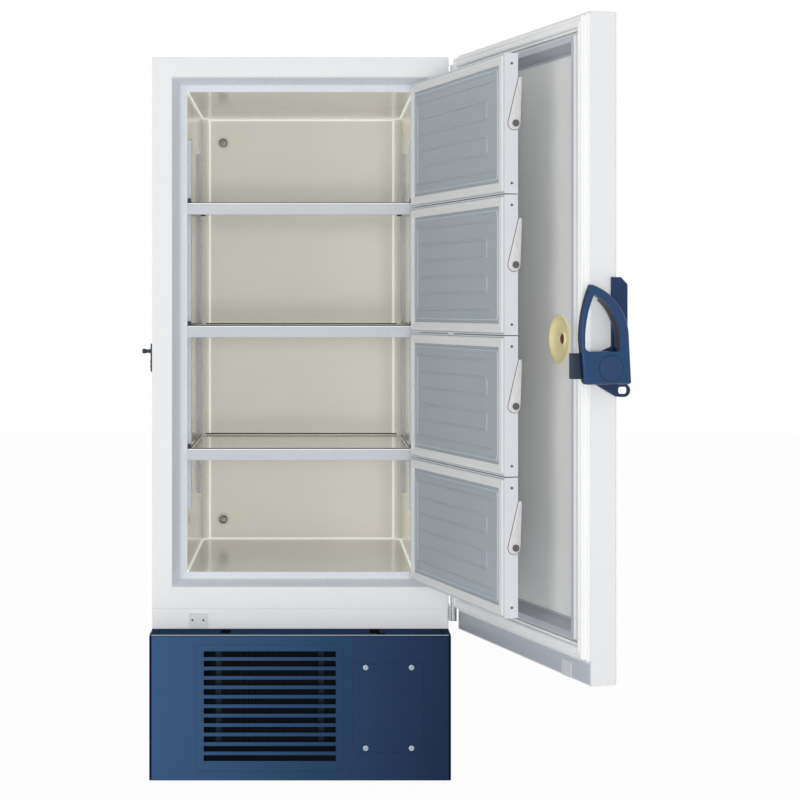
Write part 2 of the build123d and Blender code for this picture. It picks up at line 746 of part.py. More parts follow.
def make_bracket():
    top = HANDLE_PIVOT_Z + BRACKET_RISE
    low = HANDLE_PIVOT_Z - BRACKET_DROP
    front = door_y0 - BRACKET_PROUD
    plate_x0 = left_edge - BRACKET_PLATE
    profile = Polygon((door_y1, low), (door_y1, top - BRACKET_CHAMFER), (door_y1 - BRACKET_CHAMFER, top),
                      (front + BRACKET_CHAMFER, top), (front, top - BRACKET_CHAMFER), (front, low),
                      align=None)
    bracket = prism_x(profile, plate_x0, left_edge)
    wrap = Polygon((door_y0, low), (door_y0, top), (front + BRACKET_CHAMFER, top),
                   (front, top - BRACKET_CHAMFER), (front, low), align=None)
    bracket += prism_x(wrap, left_edge, left_edge + BRACKET_WRAP)
    eye_y0 = door_y0 - EYE_REACH
    eye_z0 = low + BRACKET_CHAMFER - EYE_HEIGHT
    eye_middle = eye_y0 + EYE_HOLE_WIDTH / 2 + BRACKET_PLATE
    bracket += block(plate_x0, left_edge, eye_y0, eye_y0 + EYE_WIDTH, eye_z0, eye_z0 + EYE_HEIGHT)
    bracket -= block(plate_x0, left_edge + BRACKET_WRAP, eye_middle - EYE_HOLE_WIDTH / 2,
                     eye_middle + EYE_HOLE_WIDTH / 2, eye_z0 + (EYE_HEIGHT - EYE_HOLE_HEIGHT) / 2,
                     eye_z0 + (EYE_HEIGHT + EYE_HOLE_HEIGHT) / 2)
    pin_end = lever_x0 + HANDLE_PIN + FIT
    return bracket + rod_x(HANDLE_PIN, pin_end, plate_x0, HANDLE_PIVOT_Y, HANDLE_PIVOT_Z)


def make_keeper():
    face = left_edge - KEEPER_PLATE
    keeper = block(face, left_edge, KEEPER_Y - KEEPER_WIDTH / 2, KEEPER_Y + KEEPER_WIDTH / 2,
                   keeper_z - KEEPER_BELOW, keeper_z + KEEPER_ABOVE)
    keeper += rod_x(KEEPER_PIN, face - KEEPER_REACH, face, KEEPER_Y, keeper_z)
    for n in (1, 2):
        z = keeper_z - KEEPER_BELOW + n * KEEPER_SCREW_PITCH
        keeper += rod_x(SCREW_HEAD, face - SCREW_HEAD_THICK, face, KEEPER_Y, z)
    return keeper


# Inner doors, their common rod and the latch levers

def inner_bottom(number):
    return stack_z1 - number * inner_pitch + INNER_GAP


def inner_block(inset, y0, y1, z0):
    return block(-inner_half + inset, inner_half - inset, y0, y1, z0 + inset, z0 + inner_height - inset)


def make_inner_shell(z0):
    outer = inner_block(0, 0, INNER_THICK, z0)
    outer = fillet(outer.edges().group_by(Axis.Y)[0], INNER_EDGE)
    shell = outer - inner_block(INNER_WALL, INNER_WALL, INNER_THICK, z0)
    for low in (z0, z0 + inner_height - INNER_KNUCKLE_HEIGHT):
        high = low + INNER_KNUCKLE_HEIGHT
        shell += rod_z(INNER_KNUCKLE, low, high, *inner_axis)
        shell -= rod_z(INNER_ROD + INNER_PLAY, low, high, *inner_axis)
    middle = z0 + inner_height / 2
    head_x1 = -inner_half - 2 * LATCH_STANDOFF - LATCH_THICK
    shell += rod_x(LATCH_STUD, head_x1, -inner_half, LATCH_Y, middle)
    return shell + rod_x(LATCH_HEAD, head_x1 - LATCH_HEAD_THICK, head_x1, LATCH_Y, middle)


def make_inner_panel(z0):
    inset = INNER_WALL + FIT
    face = INNER_THICK + INNER_PLATEAU
    panel = inner_block(inset, INNER_THICK - INNER_PANEL, INNER_THICK, z0)
    panel += inner_block(INNER_PLATEAU_INSET, INNER_THICK, face, z0)
    c_x0 = -inner_half + INNER_C_TO_FREE
    c_x1 = inner_half - INNER_C_FROM_HINGE
    loop_x0 = -inner_half + INNER_LOOP_TO_FREE
    loop_x1 = inner_half - INNER_LOOP_FROM_HINGE
    pitch = (inner_height - 2 * INNER_RIB_END) / (INNER_RIB_LINES - 1)
    lines = [z0 + INNER_RIB_END + n * pitch for n in range(INNER_RIB_LINES)]
    paths = [Polyline((c_x0, lines[0]), (c_x1, lines[0]), (c_x1, lines[-1]), (c_x0, lines[-1]))]
    for n in range(1, INNER_RIB_LINES - 1, 2):
        low, high = lines[n], lines[n + 1]
        paths.append(Polyline((loop_x1, low), (loop_x0, low), (loop_x0, high), (loop_x1, high)))
    for path in paths:
        panel += prism_y(trace(path, INNER_RIB), face, face + INNER_RIB_RISE)
    return panel


def make_inner_seal(z0):
    base_y = INNER_THICK + SEAL_BASE
    bulb = SEAL_INSET + SEAL_BULB_INSET
    seal = inner_block(SEAL_INSET, INNER_THICK, base_y, z0)
    seal -= inner_block(SEAL_INSET + SEAL_WIDTH, INNER_THICK, base_y, z0)
    ridge = inner_block(bulb, base_y, COLLAR_DEPTH - SEAL_FREE, z0)
    return seal + (ridge - inner_block(bulb + SEAL_BULB_WIDTH, base_y, COLLAR_DEPTH - SEAL_FREE, z0))


def make_latch(z0):
    middle = z0 + inner_height / 2
    tip = Pos(LATCH_TIP - LATCH_END, LATCH_RISE - LATCH_TIP) * Circle(LATCH_TIP)
    outline = make_hull(Circle(LATCH_END).edges() + tip.edges()) - Circle(LATCH_STUD + INNER_PLAY)
    x1 = -inner_half - LATCH_STANDOFF
    return prism_x(Pos(LATCH_Y, middle) * outline, x1 - LATCH_THICK, x1)


def make_inner_rod():
    spare = (INNER_GAP - INNER_BRACKET) / 2
    heights = [stack_z1 + spare] + [inner_bottom(n) - INNER_GAP + spare for n in range(1, COMPARTMENTS)]
    heights.append(stack_z0 - spare - INNER_BRACKET)
    pieces = [rod_z(INNER_ROD, heights[-1], heights[0] + INNER_BRACKET, *inner_axis)]
    slope = SIDE_BEVEL / COLLAR_DEPTH
    y0, y1 = inner_axis[1] - INNER_HINGE_Y + FIT, inner_axis[1] + INNER_KNUCKLE
    reach = collar_front[0]
    tongue = Polygon((inner_axis[0], y0), (reach - y0 * slope, y0), (reach - y1 * slope, y1),
                     (inner_axis[0], y1), align=None)
    tongue += Pos(*inner_axis) * Circle(INNER_KNUCKLE)
    tongue -= Pos(*inner_axis) * Circle(INNER_ROD)
    return pieces + [prism_z(tongue, z, z + INNER_BRACKET) for z in heights]


# Base and refrigeration plant

grille_z1 = GRILLE_BOTTOM + GRILLE_HEIGHT
cover_z1 = COVER_BOTTOM + COVER_HEIGHT


def grille_outline(growth):
    middle = GRILLE_BOTTOM + GRILLE_HEIGHT / 2
    return Pos(GRILLE_X, middle) * RectangleRounded(GRILLE_WIDTH + 2 * growth, GRILLE_HEIGHT + 2 * growth,
                                                    GRILLE_CORNER)


def cover_outline(growth):
    middle = COVER_BOTTOM + COVER_HEIGHT / 2
    return Pos(COVER_X, middle) * RectangleRounded(COVER_WIDTH + 2 * growth, COVER_HEIGHT + 2 * growth,
                                                   COVER_CORNER)


def screw_places():
    return [(COVER_X + side * (COVER_WIDTH / 2 - COVER_SCREW_SIDE), z) for side in (-1, 1)
            for z in (COVER_BOTTOM + COVER_SCREW_END, cover_z1 - COVER_SCREW_END)]


def rounded_pan(inset):
    pan = block(-half + inset, half - inset, base_y0 + inset, 0, FLOOR_GAP, ledge_z - inset)
    edges = pan.edges().group_by(Axis.Y)[0]
    return fillet(edges.filter_by(Axis.Z) + edges.group_by(Axis.Z)[-1], BASE_CORNER - inset)


def make_front_panel():
    panel = rounded_pan(0) - rounded_pan(BASE_SHEET)
    panel += prism_y(cover_outline(COVER_FLANGE / 2), base_y0 + BASE_SHEET, base_y0 + 2 * BASE_SHEET)
    panel -= prism_y(cover_outline(-COVER_FLANGE), base_y0, base_y0 + 2 * BASE_SHEET)
    panel -= prism_y(cover_outline(SEAM), base_y0, base_y0 + BASE_SHEET)
    panel -= prism_y(grille_outline(SEAM), base_y0, base_y0 + BASE_SHEET)
    screws = [rod_y(COVER_SCREW_SHANK, base_y0, base_y0 + 2 * BASE_SHEET, x, z) for x, z in screw_places()]
    return panel - screws


def make_grille():
    grille = prism_y(grille_outline(0), base_y0, base_y0 + BASE_SHEET)
    lip = grille_outline(GRILLE_FLANGE) - grille_outline(-GRILLE_FLANGE)
    grille += prism_y(lip, base_y0 + BASE_SHEET, base_y0 + 2 * BASE_SHEET)
    slots = []
    for n in range(GRILLE_SLOTS):
        z1 = grille_z1 - GRILLE_FIRST_SLOT - n * GRILLE_PITCH
        slot = Pos(GRILLE_X, z1 - GRILLE_SLOT_HEIGHT / 2) * Rectangle(GRILLE_SLOT_WIDTH, GRILLE_SLOT_HEIGHT)
        slots.append(prism_y(slot, base_y0, base_y0 + BASE_SHEET))
    return grille - slots


def make_cover():
    cover = prism_y(cover_outline(0), base_y0, base_y0 + BASE_SHEET)
    screws = [rod_y(COVER_SCREW_SHANK, base_y0, base_y0 + BASE_SHEET, x, z) for x, z in screw_places()]
    return cover - screws


def make_cover_screws():
    screws = []
    for x, z in screw_places():
        head = rod_y(COVER_SCREW_HEAD, base_y0 - SCREW_HEAD_THICK, base_y0, x, z)
        head = fillet(head.edges().group_by(Axis.Y)[0], COVER_SCREW_EDGE)
        screws.append(head + rod_y(COVER_SCREW_SHANK, base_y0, base_y0 + 2 * BASE_SHEET, x, z))
    return screws


foot_xs = (-half + FOOT_INSET, half - FOOT_INSET)
caster_xs = (-half + CASTER_INSET, half - CASTER_INSET)
caster_y = CABINET_DEPTH - CASTER_FROM_BACK


def make_base_frame():
    y1 = CABINET_DEPTH - BASE_SHEET
    frame = block(-half + BASE_SHEET, half - BASE_SHEET, base_y0 + BASE_CORNER, y1, DECK_Z, deck_top)
    for side in (-1, 1):
        near, far = sorted((side * half, side * (half - BASE_SHEET)))
        frame += block(near, far, 0, y1, FLOOR_GAP, CABINET_BOTTOM)
    rails = block(-half + BASE_SHEET, half - BASE_SHEET, 0, y1, CABINET_BOTTOM - BASE_RAIL_THICK,
                  CABINET_BOTTOM)
    rails -= block(-half + BASE_RAIL, half - BASE_RAIL, BASE_RAIL, y1 - BASE_RAIL,
                   CABINET_BOTTOM - BASE_RAIL_THICK, CABINET_BOTTOM)
    frame += rails
    for side in (-1, 1):
        x = GRILLE_X + side * (CONDENSER_WIDTH + STRUT_WIDTH + SEAM) / 2
        frame += block(x - STRUT_WIDTH / 2, x + STRUT_WIDTH / 2, condenser_y0, condenser_y1, deck_top,
                       deck_top + CONDENSER_HEIGHT)
    for x in foot_xs:
        frame += rod_z(FOOT_BOSS, DECK_Z - FOOT_BOSS_HEIGHT, DECK_Z, x, FOOT_Y)
        frame -= rod_z(FOOT_STEM + FOOT_PLAY, DECK_Z - FOOT_BOSS_HEIGHT, deck_top, x, FOOT_Y)
    return frame


def make_condenser():
    left = GRILLE_X - CONDENSER_WIDTH / 2
    right = GRILLE_X + CONDENSER_WIDTH / 2
    core = block(left, right, condenser_y0, condenser_y1, deck_top, deck_top + CONDENSER_HEIGHT)
    count = int(CONDENSER_WIDTH / FIN_PITCH) - 1
    start = GRILLE_X - (count - 1) * FIN_PITCH / 2
    gaps = [block(start + n * FIN_PITCH - FIN_GAP / 2, start + n * FIN_PITCH + FIN_GAP / 2, condenser_y0,
                  condenser_y0 + FIN_DEPTH, deck_top, deck_top + CONDENSER_HEIGHT) for n in range(count)]
    return core - gaps


fan_y0 = condenser_y1 + SHROUD + FAN_STANDOFF
motor_y0 = fan_y0 + FAN_WIDTH + FAN_STANDOFF


def make_fan_motor():
    x0 = GRILLE_X - CONDENSER_WIDTH / 2
    x1 = GRILLE_X + CONDENSER_WIDTH / 2
    opening = FAN_RADIUS + FAN_CLEAR
    shroud = block(x0, x1, condenser_y1, condenser_y1 + SHROUD, deck_top, deck_top + CONDENSER_HEIGHT)
    shroud -= rod_y(opening, condenser_y1, condenser_y1 + SHROUD, GRILLE_X, fan_z)
    arm_y1 = motor_y0 + FAN_ARM
    for z in (deck_top, deck_top + CONDENSER_HEIGHT - FAN_ARM):
        for x in (x0, x1 - FAN_ARM):
            shroud += block(x, x + FAN_ARM, condenser_y1, arm_y1, z, z + FAN_ARM)
        shroud += block(x0, x1, motor_y0, arm_y1, z, z + FAN_ARM)
    shroud += block(GRILLE_X - FAN_ARM, GRILLE_X + FAN_ARM, motor_y0, arm_y1, deck_top,
                    deck_top + CONDENSER_HEIGHT)
    shroud += rod_y(MOTOR_RADIUS, motor_y0, motor_y0 + MOTOR_LENGTH, GRILLE_X, fan_z)
    return shroud + rod_y(FAN_SHAFT, fan_y0, motor_y0, GRILLE_X, fan_z)


def make_fan_blade():
    fan = rod_y(FAN_HUB, fan_y0, fan_y0 + FAN_WIDTH, GRILLE_X, fan_z)
    root = FAN_HUB - FAN_BLADE_ROOT
    for n in range(FAN_BLADES):
        blade = Rot(FAN_BLADE_TWIST, 0, 0) * Box(FAN_RADIUS - root, FAN_BLADE_THICK, FAN_WIDTH)
        blade = Pos((root + FAN_RADIUS) / 2, 0, 0) * blade
        fan += Pos(GRILLE_X, fan_y0 + FAN_WIDTH / 2, fan_z) * Rot(0, 360 / FAN_BLADES * n, 0) * blade
    return fan - rod_y(FAN_SHAFT + FAN_PLAY, fan_y0, fan_y0 + FAN_WIDTH, GRILLE_X, fan_z)


def make_compressors():
    cans = []
    for side in (-1, 1):
        x = side * COMPRESSOR_X
        can = rod_z(COMPRESSOR_RADIUS, deck_top + COMPRESSOR_FOOT, deck_top + COMPRESSOR_HEIGHT, x,
                    COMPRESSOR_Y)
        can = fillet(can.edges().group_by(Axis.Z)[-1], COMPRESSOR_DOME)
        foot = Pos(x, COMPRESSOR_Y) * RectangleRounded(2 * COMPRESSOR_RADIUS, 2 * COMPRESSOR_RADIUS,
                                                       COMPRESSOR_DOME)
        cans.append(can + prism_z(foot, deck_top, deck_top + COMPRESSOR_FOOT))
    return cans


def make_control_box():
    x0 = COVER_X - COVER_WIDTH / 2 + CONTROL_SIDE
    x1 = COVER_X + COVER_WIDTH / 2 - CONTROL_SIDE
    y0 = condenser_y0
    outer = block(x0, x1, y0, y0 + CONTROL_DEPTH, deck_top, deck_top + CONTROL_HEIGHT)
    inner = block(x0 + CONTROL_WALL, x1 - CONTROL_WALL, y0 + CONTROL_WALL, y0 + CONTROL_DEPTH,
                  deck_top + CONTROL_WALL, deck_top + CONTROL_HEIGHT - CONTROL_WALL)
    return outer - inner


def make_rear_grille():
    y0 = CABINET_DEPTH - BASE_SHEET
    panel = block(-half, half, y0, CABINET_DEPTH, FLOOR_GAP, CABINET_BOTTOM)
    top = CABINET_BOTTOM - REAR_MARGIN
    slots = []
    for n in range(REAR_SLOTS):
        z1 = top - n * REAR_PITCH
        slots.append(block(-half + REAR_MARGIN, INLET_X - INLET_WIDTH, y0, CABINET_DEPTH,
                           z1 - REAR_SLOT_HEIGHT, z1))
    return panel - slots


def make_inlet():
    z = (deck_top + CABINET_BOTTOM) / 2
    outline = Pos(INLET_X, z) * RectangleRounded(INLET_WIDTH, INLET_HEIGHT, INLET_CORNER)
    pocket = Pos(INLET_X, z) * RectangleRounded(INLET_WIDTH - 2 * INLET_WALL,
                                                INLET_HEIGHT - 2 * INLET_WALL, INLET_CORNER)
    inlet = prism_y(outline, CABINET_DEPTH, CABINET_DEPTH + INLET_PROUD)
    return inlet - prism_y(pocket, CABINET_DEPTH + INLET_PROUD - INLET_POCKET, CABINET_DEPTH + INLET_PROUD)


# Casters and feet

def make_fork(x):
    inner = WHEEL_WIDTH / 2 + FORK_CLEAR
    outer = inner + FORK_PLATE
    fork = block(x - outer, x + outer, caster_y - WHEEL_RADIUS, caster_y + WHEEL_RADIUS,
                 DECK_Z - FORK_PLATE, DECK_Z)
    for x0 in (x - outer, x + inner):
        cheek = Polygon((caster_y - WHEEL_RADIUS, DECK_Z), (caster_y - FORK_EYE, WHEEL_RADIUS - FORK_EYE),
                        (caster_y + FORK_EYE, WHEEL_RADIUS - FORK_EYE), (caster_y + WHEEL_RADIUS, DECK_Z),
                        align=None)
        fork += prism_x(cheek, x0, x0 + FORK_PLATE)
    return fork + rod_x(AXLE, x - outer, x + outer, caster_y, WHEEL_RADIUS)


def make_wheel(x):
    x0 = x - WHEEL_WIDTH / 2
    wheel = rod_x(WHEEL_RADIUS, x0, x0 + WHEEL_WIDTH, caster_y, WHEEL_RADIUS)
    wheel = fillet(wheel.edges(), WHEEL_EDGE)
    return wheel - rod_x(AXLE + WHEEL_PLAY, x0, x0 + WHEEL_WIDTH, caster_y, WHEEL_RADIUS)


def make_foot(x):
    pad = rod_z(FOOT_PAD, 0, FOOT_THICK, x, FOOT_Y)
    pad = fillet(pad.edges().group_by(Axis.Z)[-1], FOOT_EDGE)
    return pad + rod_z(FOOT_STEM, FOOT_THICK, deck_top, x, FOOT_Y)


def main():
    os.makedirs("parts", exist_ok=True)

    save("cabinet_shell", make_cabinet_shell())
    save("front_rail", make_front_rail())
    save("sensor_plate", contact_plate(-PLATE_THICK))
    save("breaker_collar", make_collar())
    save("inner_liner", *make_liner())
    save("evaporator_coil", make_coil())
    save("cabinet_foam", make_foam())
    sleeves, plugs = make_ports()
    save("access_ports", *sleeves)
    save("port_plugs", *plugs)

    save("shelf_standards", *make_standards())
    save("shelf_clips", *make_clips())
    save("shelf_trays", *[make_tray(centre) for centre in shelf_centres])
    save("shelf_fronts", *[make_shelf_front(centre) for centre in shelf_centres])

    save("hinge_brackets", *make_cabinet_hinges())
    save("inner_hinge_rod", *make_inner_rod())
    save("lock_striker", make_keeper())

    save("base_frame", make_base_frame())
    save("base_front_panel", make_front_panel())
    save("louvre_grille", make_grille())
    save("service_cover", make_cover())
    save("cover_screws", *make_cover_screws())
    save("condenser", make_condenser())
    save("fan_motor", make_fan_motor())
    save("fan_blade", make_fan_blade())
    save("compressors", *make_compressors())
    save("control_box", make_control_box())
    save("rear_grille", make_rear_grille())
    save("power_inlet", make_inlet())
    save("caster_forks", *[make_fork(x) for x in caster_xs])
    for name, foot_x, caster_x in zip(("left", "right"), foot_xs, caster_xs):
        save(f"foot_{name}", make_foot(foot_x))
        save(f"caster_wheel_{name}", make_wheel(caster_x))

    save_on_door("door_shell", make_door_shell())
    save_on_door("door_foam", make_door_foam())
    save_on_door("door_liner", make_door_liner())
    save_on_door("door_panel", make_door_panel())
    save_on_door("door_gasket", make_door_gasket())
    save_on_door("pressure_port", *make_vent())
    save_on_door("door_sensor_plate", contact_plate(door_y1))
    save_on_door("control_panel", make_display())
    save_on_door("door_hinge_arms", *make_door_hinges())
    save_on_door("handle_bracket", make_bracket())
    save_on_door("handle_lever", make_handle())

    for number in range(1, COMPARTMENTS + 1):
        z0 = inner_bottom(number)
        save_on_inner(f"inner_door_{number}_shell", make_inner_shell(z0))
        save_on_inner(f"inner_door_{number}_panel", make_inner_panel(z0))
        save_on_inner(f"inner_door_{number}_gasket", make_inner_seal(z0))
        save_on_inner(f"inner_door_{number}_latch", make_latch(z0))

    for label, angle in (("handle", DOOR_OPEN), ("latch", INNER_OPEN)):
        print(label, "axis at rest", round(cos(radians(angle)), 6), round(sin(radians(angle)), 6))


main()
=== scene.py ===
import json
from math import acos, atan2, cos, hypot, pi, radians, sin, tan

import bmesh
import bpy
from mathutils import Matrix, Vector
from mathutils.geometry import tessellate_polygon


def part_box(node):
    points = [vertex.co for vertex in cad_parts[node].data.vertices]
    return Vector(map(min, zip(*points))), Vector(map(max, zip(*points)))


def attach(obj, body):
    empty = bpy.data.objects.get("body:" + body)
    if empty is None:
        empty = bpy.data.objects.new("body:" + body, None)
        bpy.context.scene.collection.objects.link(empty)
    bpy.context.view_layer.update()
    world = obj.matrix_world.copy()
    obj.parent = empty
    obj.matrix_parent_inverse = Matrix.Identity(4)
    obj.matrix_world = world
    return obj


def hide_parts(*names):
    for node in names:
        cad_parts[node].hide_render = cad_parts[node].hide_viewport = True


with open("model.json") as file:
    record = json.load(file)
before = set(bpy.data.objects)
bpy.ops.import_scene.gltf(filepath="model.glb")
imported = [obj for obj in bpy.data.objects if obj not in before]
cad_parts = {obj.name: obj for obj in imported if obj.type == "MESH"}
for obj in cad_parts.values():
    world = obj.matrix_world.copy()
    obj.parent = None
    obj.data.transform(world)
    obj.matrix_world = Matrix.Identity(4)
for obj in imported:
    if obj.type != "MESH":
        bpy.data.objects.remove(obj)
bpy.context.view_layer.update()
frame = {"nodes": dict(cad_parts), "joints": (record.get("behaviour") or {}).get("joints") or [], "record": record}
nodes = frame["nodes"]
joints = {j["name"]: j for j in frame["joints"]}
couplings = {c["joint"]: c["ratio"] for c in frame["record"]["behaviour"]["couplings"]}
scene = bpy.context.scene
mm = 0.001
doorCount = 4
print("frame loaded,", len(nodes), "nodes")


# Doors are drawn shut, in the cabinet's own directions, and then swung to where the frame holds them
def swing(jointName, degrees):
    pivot = Vector(joints[jointName]["pos_m"])
    turn = Matrix.Rotation(radians(degrees), 4, "Z")
    return Matrix.Translation(pivot) @ turn @ Matrix.Translation(-pivot)


doorOpen = -joints["outer_door_hinge"]["range_deg"][0]
doorSwing = swing("outer_door_hinge", doorOpen)
swings = {"cabinet": Matrix.Identity(4), "outer_door": doorSwing, "handle": doorSwing}
for n in range(1, doorCount + 1):
    hinge = f"inner_door_{n}_hinge"
    swings[f"inner_door_{n}"] = swing(hinge, doorOpen * couplings[hinge])
    swings[f"inner_latch_{n}"] = swings[f"inner_door_{n}"]


def shutBox(node, body):
    back = swings[body].inverted()
    points = [back @ v.co for v in nodes[node].data.vertices]
    low = Vector([min(p[k] for p in points) for k in range(3)])
    high = Vector([max(p[k] for p in points) for k in range(3)])
    return low, high


def flatBox(node, body):
    low, high = shutBox(node, body)
    return low.x, high.x, low.z, high.z


def shutPivot(jointName, body):
    return swings[body].inverted() @ Vector(joints[jointName]["pos_m"])


# Shader sockets as Python values

class Tone:
    def __init__(self, finish, socket):
        self.finish = finish
        self.socket = socket

    def maths(self, operation, a, b):
        return self.finish.node("ShaderNodeMath", {"operation": operation}, {0: a, 1: b})

    def __add__(self, other):
        return self.maths("ADD", self, other)

    def __radd__(self, other):
        return self.maths("ADD", other, self)

    def __sub__(self, other):
        return self.maths("SUBTRACT", self, other)

    def __rsub__(self, other):
        return self.maths("SUBTRACT", other, self)

    def __mul__(self, other):
        return self.maths("MULTIPLY", self, other)

    def __rmul__(self, other):
        return self.maths("MULTIPLY", other, self)

    def __gt__(self, other):
        return self.maths("GREATER_THAN", self, other)


class Finish:
    def __init__(self, name, store=bpy.data.materials, shader="Principled BSDF"):
        self.material = store.new(name)
        self.material.use_nodes = True
        self.tree = self.material.node_tree
        self.shader = self.tree.nodes[shader]

    def node(self, kind, settings=None, inputs=None, output=0):
        made = self.tree.nodes.new(kind)
        for key, value in (settings or {}).items():
            if key == "stops":
                while len(made.color_ramp.elements) < len(value):
                    made.color_ramp.elements.new(0.5)
                for element, (place, colour) in zip(made.color_ramp.elements, value):
                    element.position = place
                    element.color = (*colour, 1)
            else:
                setattr(made, key, value)
        for key, value in (inputs or {}).items():
            self.feed(made.inputs[key], value)
        return Tone(self, made.outputs[output])

    def feed(self, socket, value):
        if isinstance(value, Tone):
            self.tree.links.new(value.socket, socket)
        elif hasattr(value, "__len__") and len(value) == 3 and socket.type == "RGBA":
            socket.default_value = (*value, 1)
        else:
            socket.default_value = value

    def set(self, **sockets):
        for name, value in sockets.items():
            self.feed(self.shader.inputs[name.replace("_", " ")], value)
        return self

    def place(self, scale=(1, 1, 1)):
        spot = self.node("ShaderNodeTexCoord", output=3)  # Object coordinates
        return self.node("ShaderNodeMapping", {}, {"Vector": spot, "Scale": scale})

    def along(self, axis):
        return self.node("ShaderNodeSeparateXYZ", {}, {0: self.place()}, output="XYZ".index(axis))

    def noise(self, scale, detail=3.0, stretch=(1, 1, 1)):
        return self.node("ShaderNodeTexNoise", {},
                         {"Vector": self.place(stretch), "Scale": scale, "Detail": detail})

    def cells(self, scale):
        return self.node("ShaderNodeTexVoronoi", {}, {"Vector": self.place(), "Scale": scale})

    def mix(self, share, a, b):
        return self.node("ShaderNodeMix", {"data_type": "RGBA"}, {0: share, 6: a, 7: b}, output=2)

    def spread(self, value, low, high, start, end):
        return self.node("ShaderNodeMapRange", {}, {0: value, 1: low, 2: high, 3: start, 4: end})

    # A colour that drifts between a share of itself and itself
    def drift(self, value, colour, share, low=0.3, high=0.7):
        stops = ((low, [c * share for c in colour]), (high, colour))
        return self.node("ShaderNodeValToRGB", {"stops": stops}, {"Fac": value})

    def gloss(self, value, roughness, less, more, low=0.3, high=0.7):
        return self.spread(value, low, high, roughness - less, roughness + more)

    def bump(self, height, strength, distance):
        made = self.node("ShaderNodeBump", {}, {"Strength": strength, "Distance": distance, "Height": height})
        return self.set(Normal=made)


# Kinds of finish: paint, plastic, enamel, rubber, metal, foam, glass

def paintFinish(name, colour, roughness, peel):
    finish = Finish(name)
    finish.set(Base_Color=finish.drift(finish.noise(2.2), colour, 0.985, 0.35, 0.65),
               Roughness=finish.gloss(finish.noise(45), roughness, 0.05, 0.05))
    return finish.bump(finish.noise(650, 2), peel, 0.0003)


# Blue paint with painted light: lit at the left side and deepening into painted shade towards the right; shade
# gives a darker or brighter share of it, for more painted shade
def paintedSideLight(name, light, dark, span, roughness, shade=None):
    finish = Finish(name)
    share = finish.spread(finish.along("X"), *span, 0, 1)
    paintedTone = finish.mix(share + finish.noise(3.5) * 0.16 - 0.08, light, dark)
    depth = finish.spread(finish.noise(1400, 1), 0.35, 0.75, 0.94, 1.08)
    if shade:
        depth = depth * shade(finish)
    speckled = finish.node("ShaderNodeVectorMath", {"operation": "SCALE"}, {0: paintedTone, "Scale": depth})
    finish.set(Base_Color=speckled, Specular_IOR_Level=0.16,
               Roughness=finish.gloss(finish.noise(70), roughness, 0.06, 0.06))
    return finish.bump(finish.noise(900, 2), 0.1, 0.0003)


# Painted shade: struts in front of the cabinet's face, behind the louvres, are darkened to a fifth of their blue
def paintedShadeBehindLouvres(finish):
    return finish.spread(finish.along("Y"), -0.004, 0, 0.2, 1)


def plasticFinish(name, colour, roughness, grain=0.1, scale=520):
    finish = Finish(name)
    finish.set(Base_Color=finish.drift(finish.noise(3.2), colour, 0.95),
               Roughness=finish.gloss(finish.noise(110), roughness, 0.04, 0.06))
    return finish.bump(finish.noise(scale, 2), grain, 0.0003)


def enamelFinish(name, colour, roughness, coat=0.0):
    finish = Finish(name)
    return finish.set(Base_Color=finish.drift(finish.noise(1.6), colour, 0.97),
                      Roughness=finish.gloss(finish.noise(4), roughness, 0.03, 0.03),
                      Coat_Weight=coat, Coat_Roughness=0.1, Specular_IOR_Level=0.5)


def rubberFinish(name, colour, roughness=0.6):
    finish = Finish(name)
    return finish.set(Base_Color=finish.drift(finish.noise(5, 1), colour, 0.98),
                      Roughness=finish.gloss(finish.noise(30), roughness, 0.06, 0.06))


def brushedFinish(name, colour, roughness, stretch, metallic=1.0):
    finish = Finish(name)
    streak = finish.noise(240, 3, stretch)
    finish.set(Base_Color=finish.drift(streak, colour, 0.86), Metallic=metallic,
               Roughness=finish.gloss(streak, roughness, 0.06, 0.1, 0.25, 0.75))
    return finish.bump(streak, 0.05, 0.0002)


def castFinish(name, colour, roughness):
    finish = Finish(name)
    finish.set(Base_Color=finish.drift(finish.noise(8), colour, 0.7),
               Roughness=finish.gloss(finish.noise(40), roughness, 0.1, 0.1))
    return finish.bump(finish.noise(260, 4), 0.3, 0.0006)


def foamFinish(name, colour):
    finish = Finish(name)
    cell = finish.cells(420)
    finish.set(Base_Color=finish.drift(cell, colour, 0.75, 0.1, 0.6), Roughness=0.9)
    return finish.bump(cell, 0.4, 0.001)


def glassFinish(name, colour):
    finish = Finish(name)
    smear = finish.noise(6, 4)
    return finish.set(Base_Color=finish.drift(smear, [c * 1.5 for c in colour], 1 / 1.5),
                      Roughness=finish.spread(smear, 0.3, 0.8, 0.24, 0.34), Specular_IOR_Level=0.25)


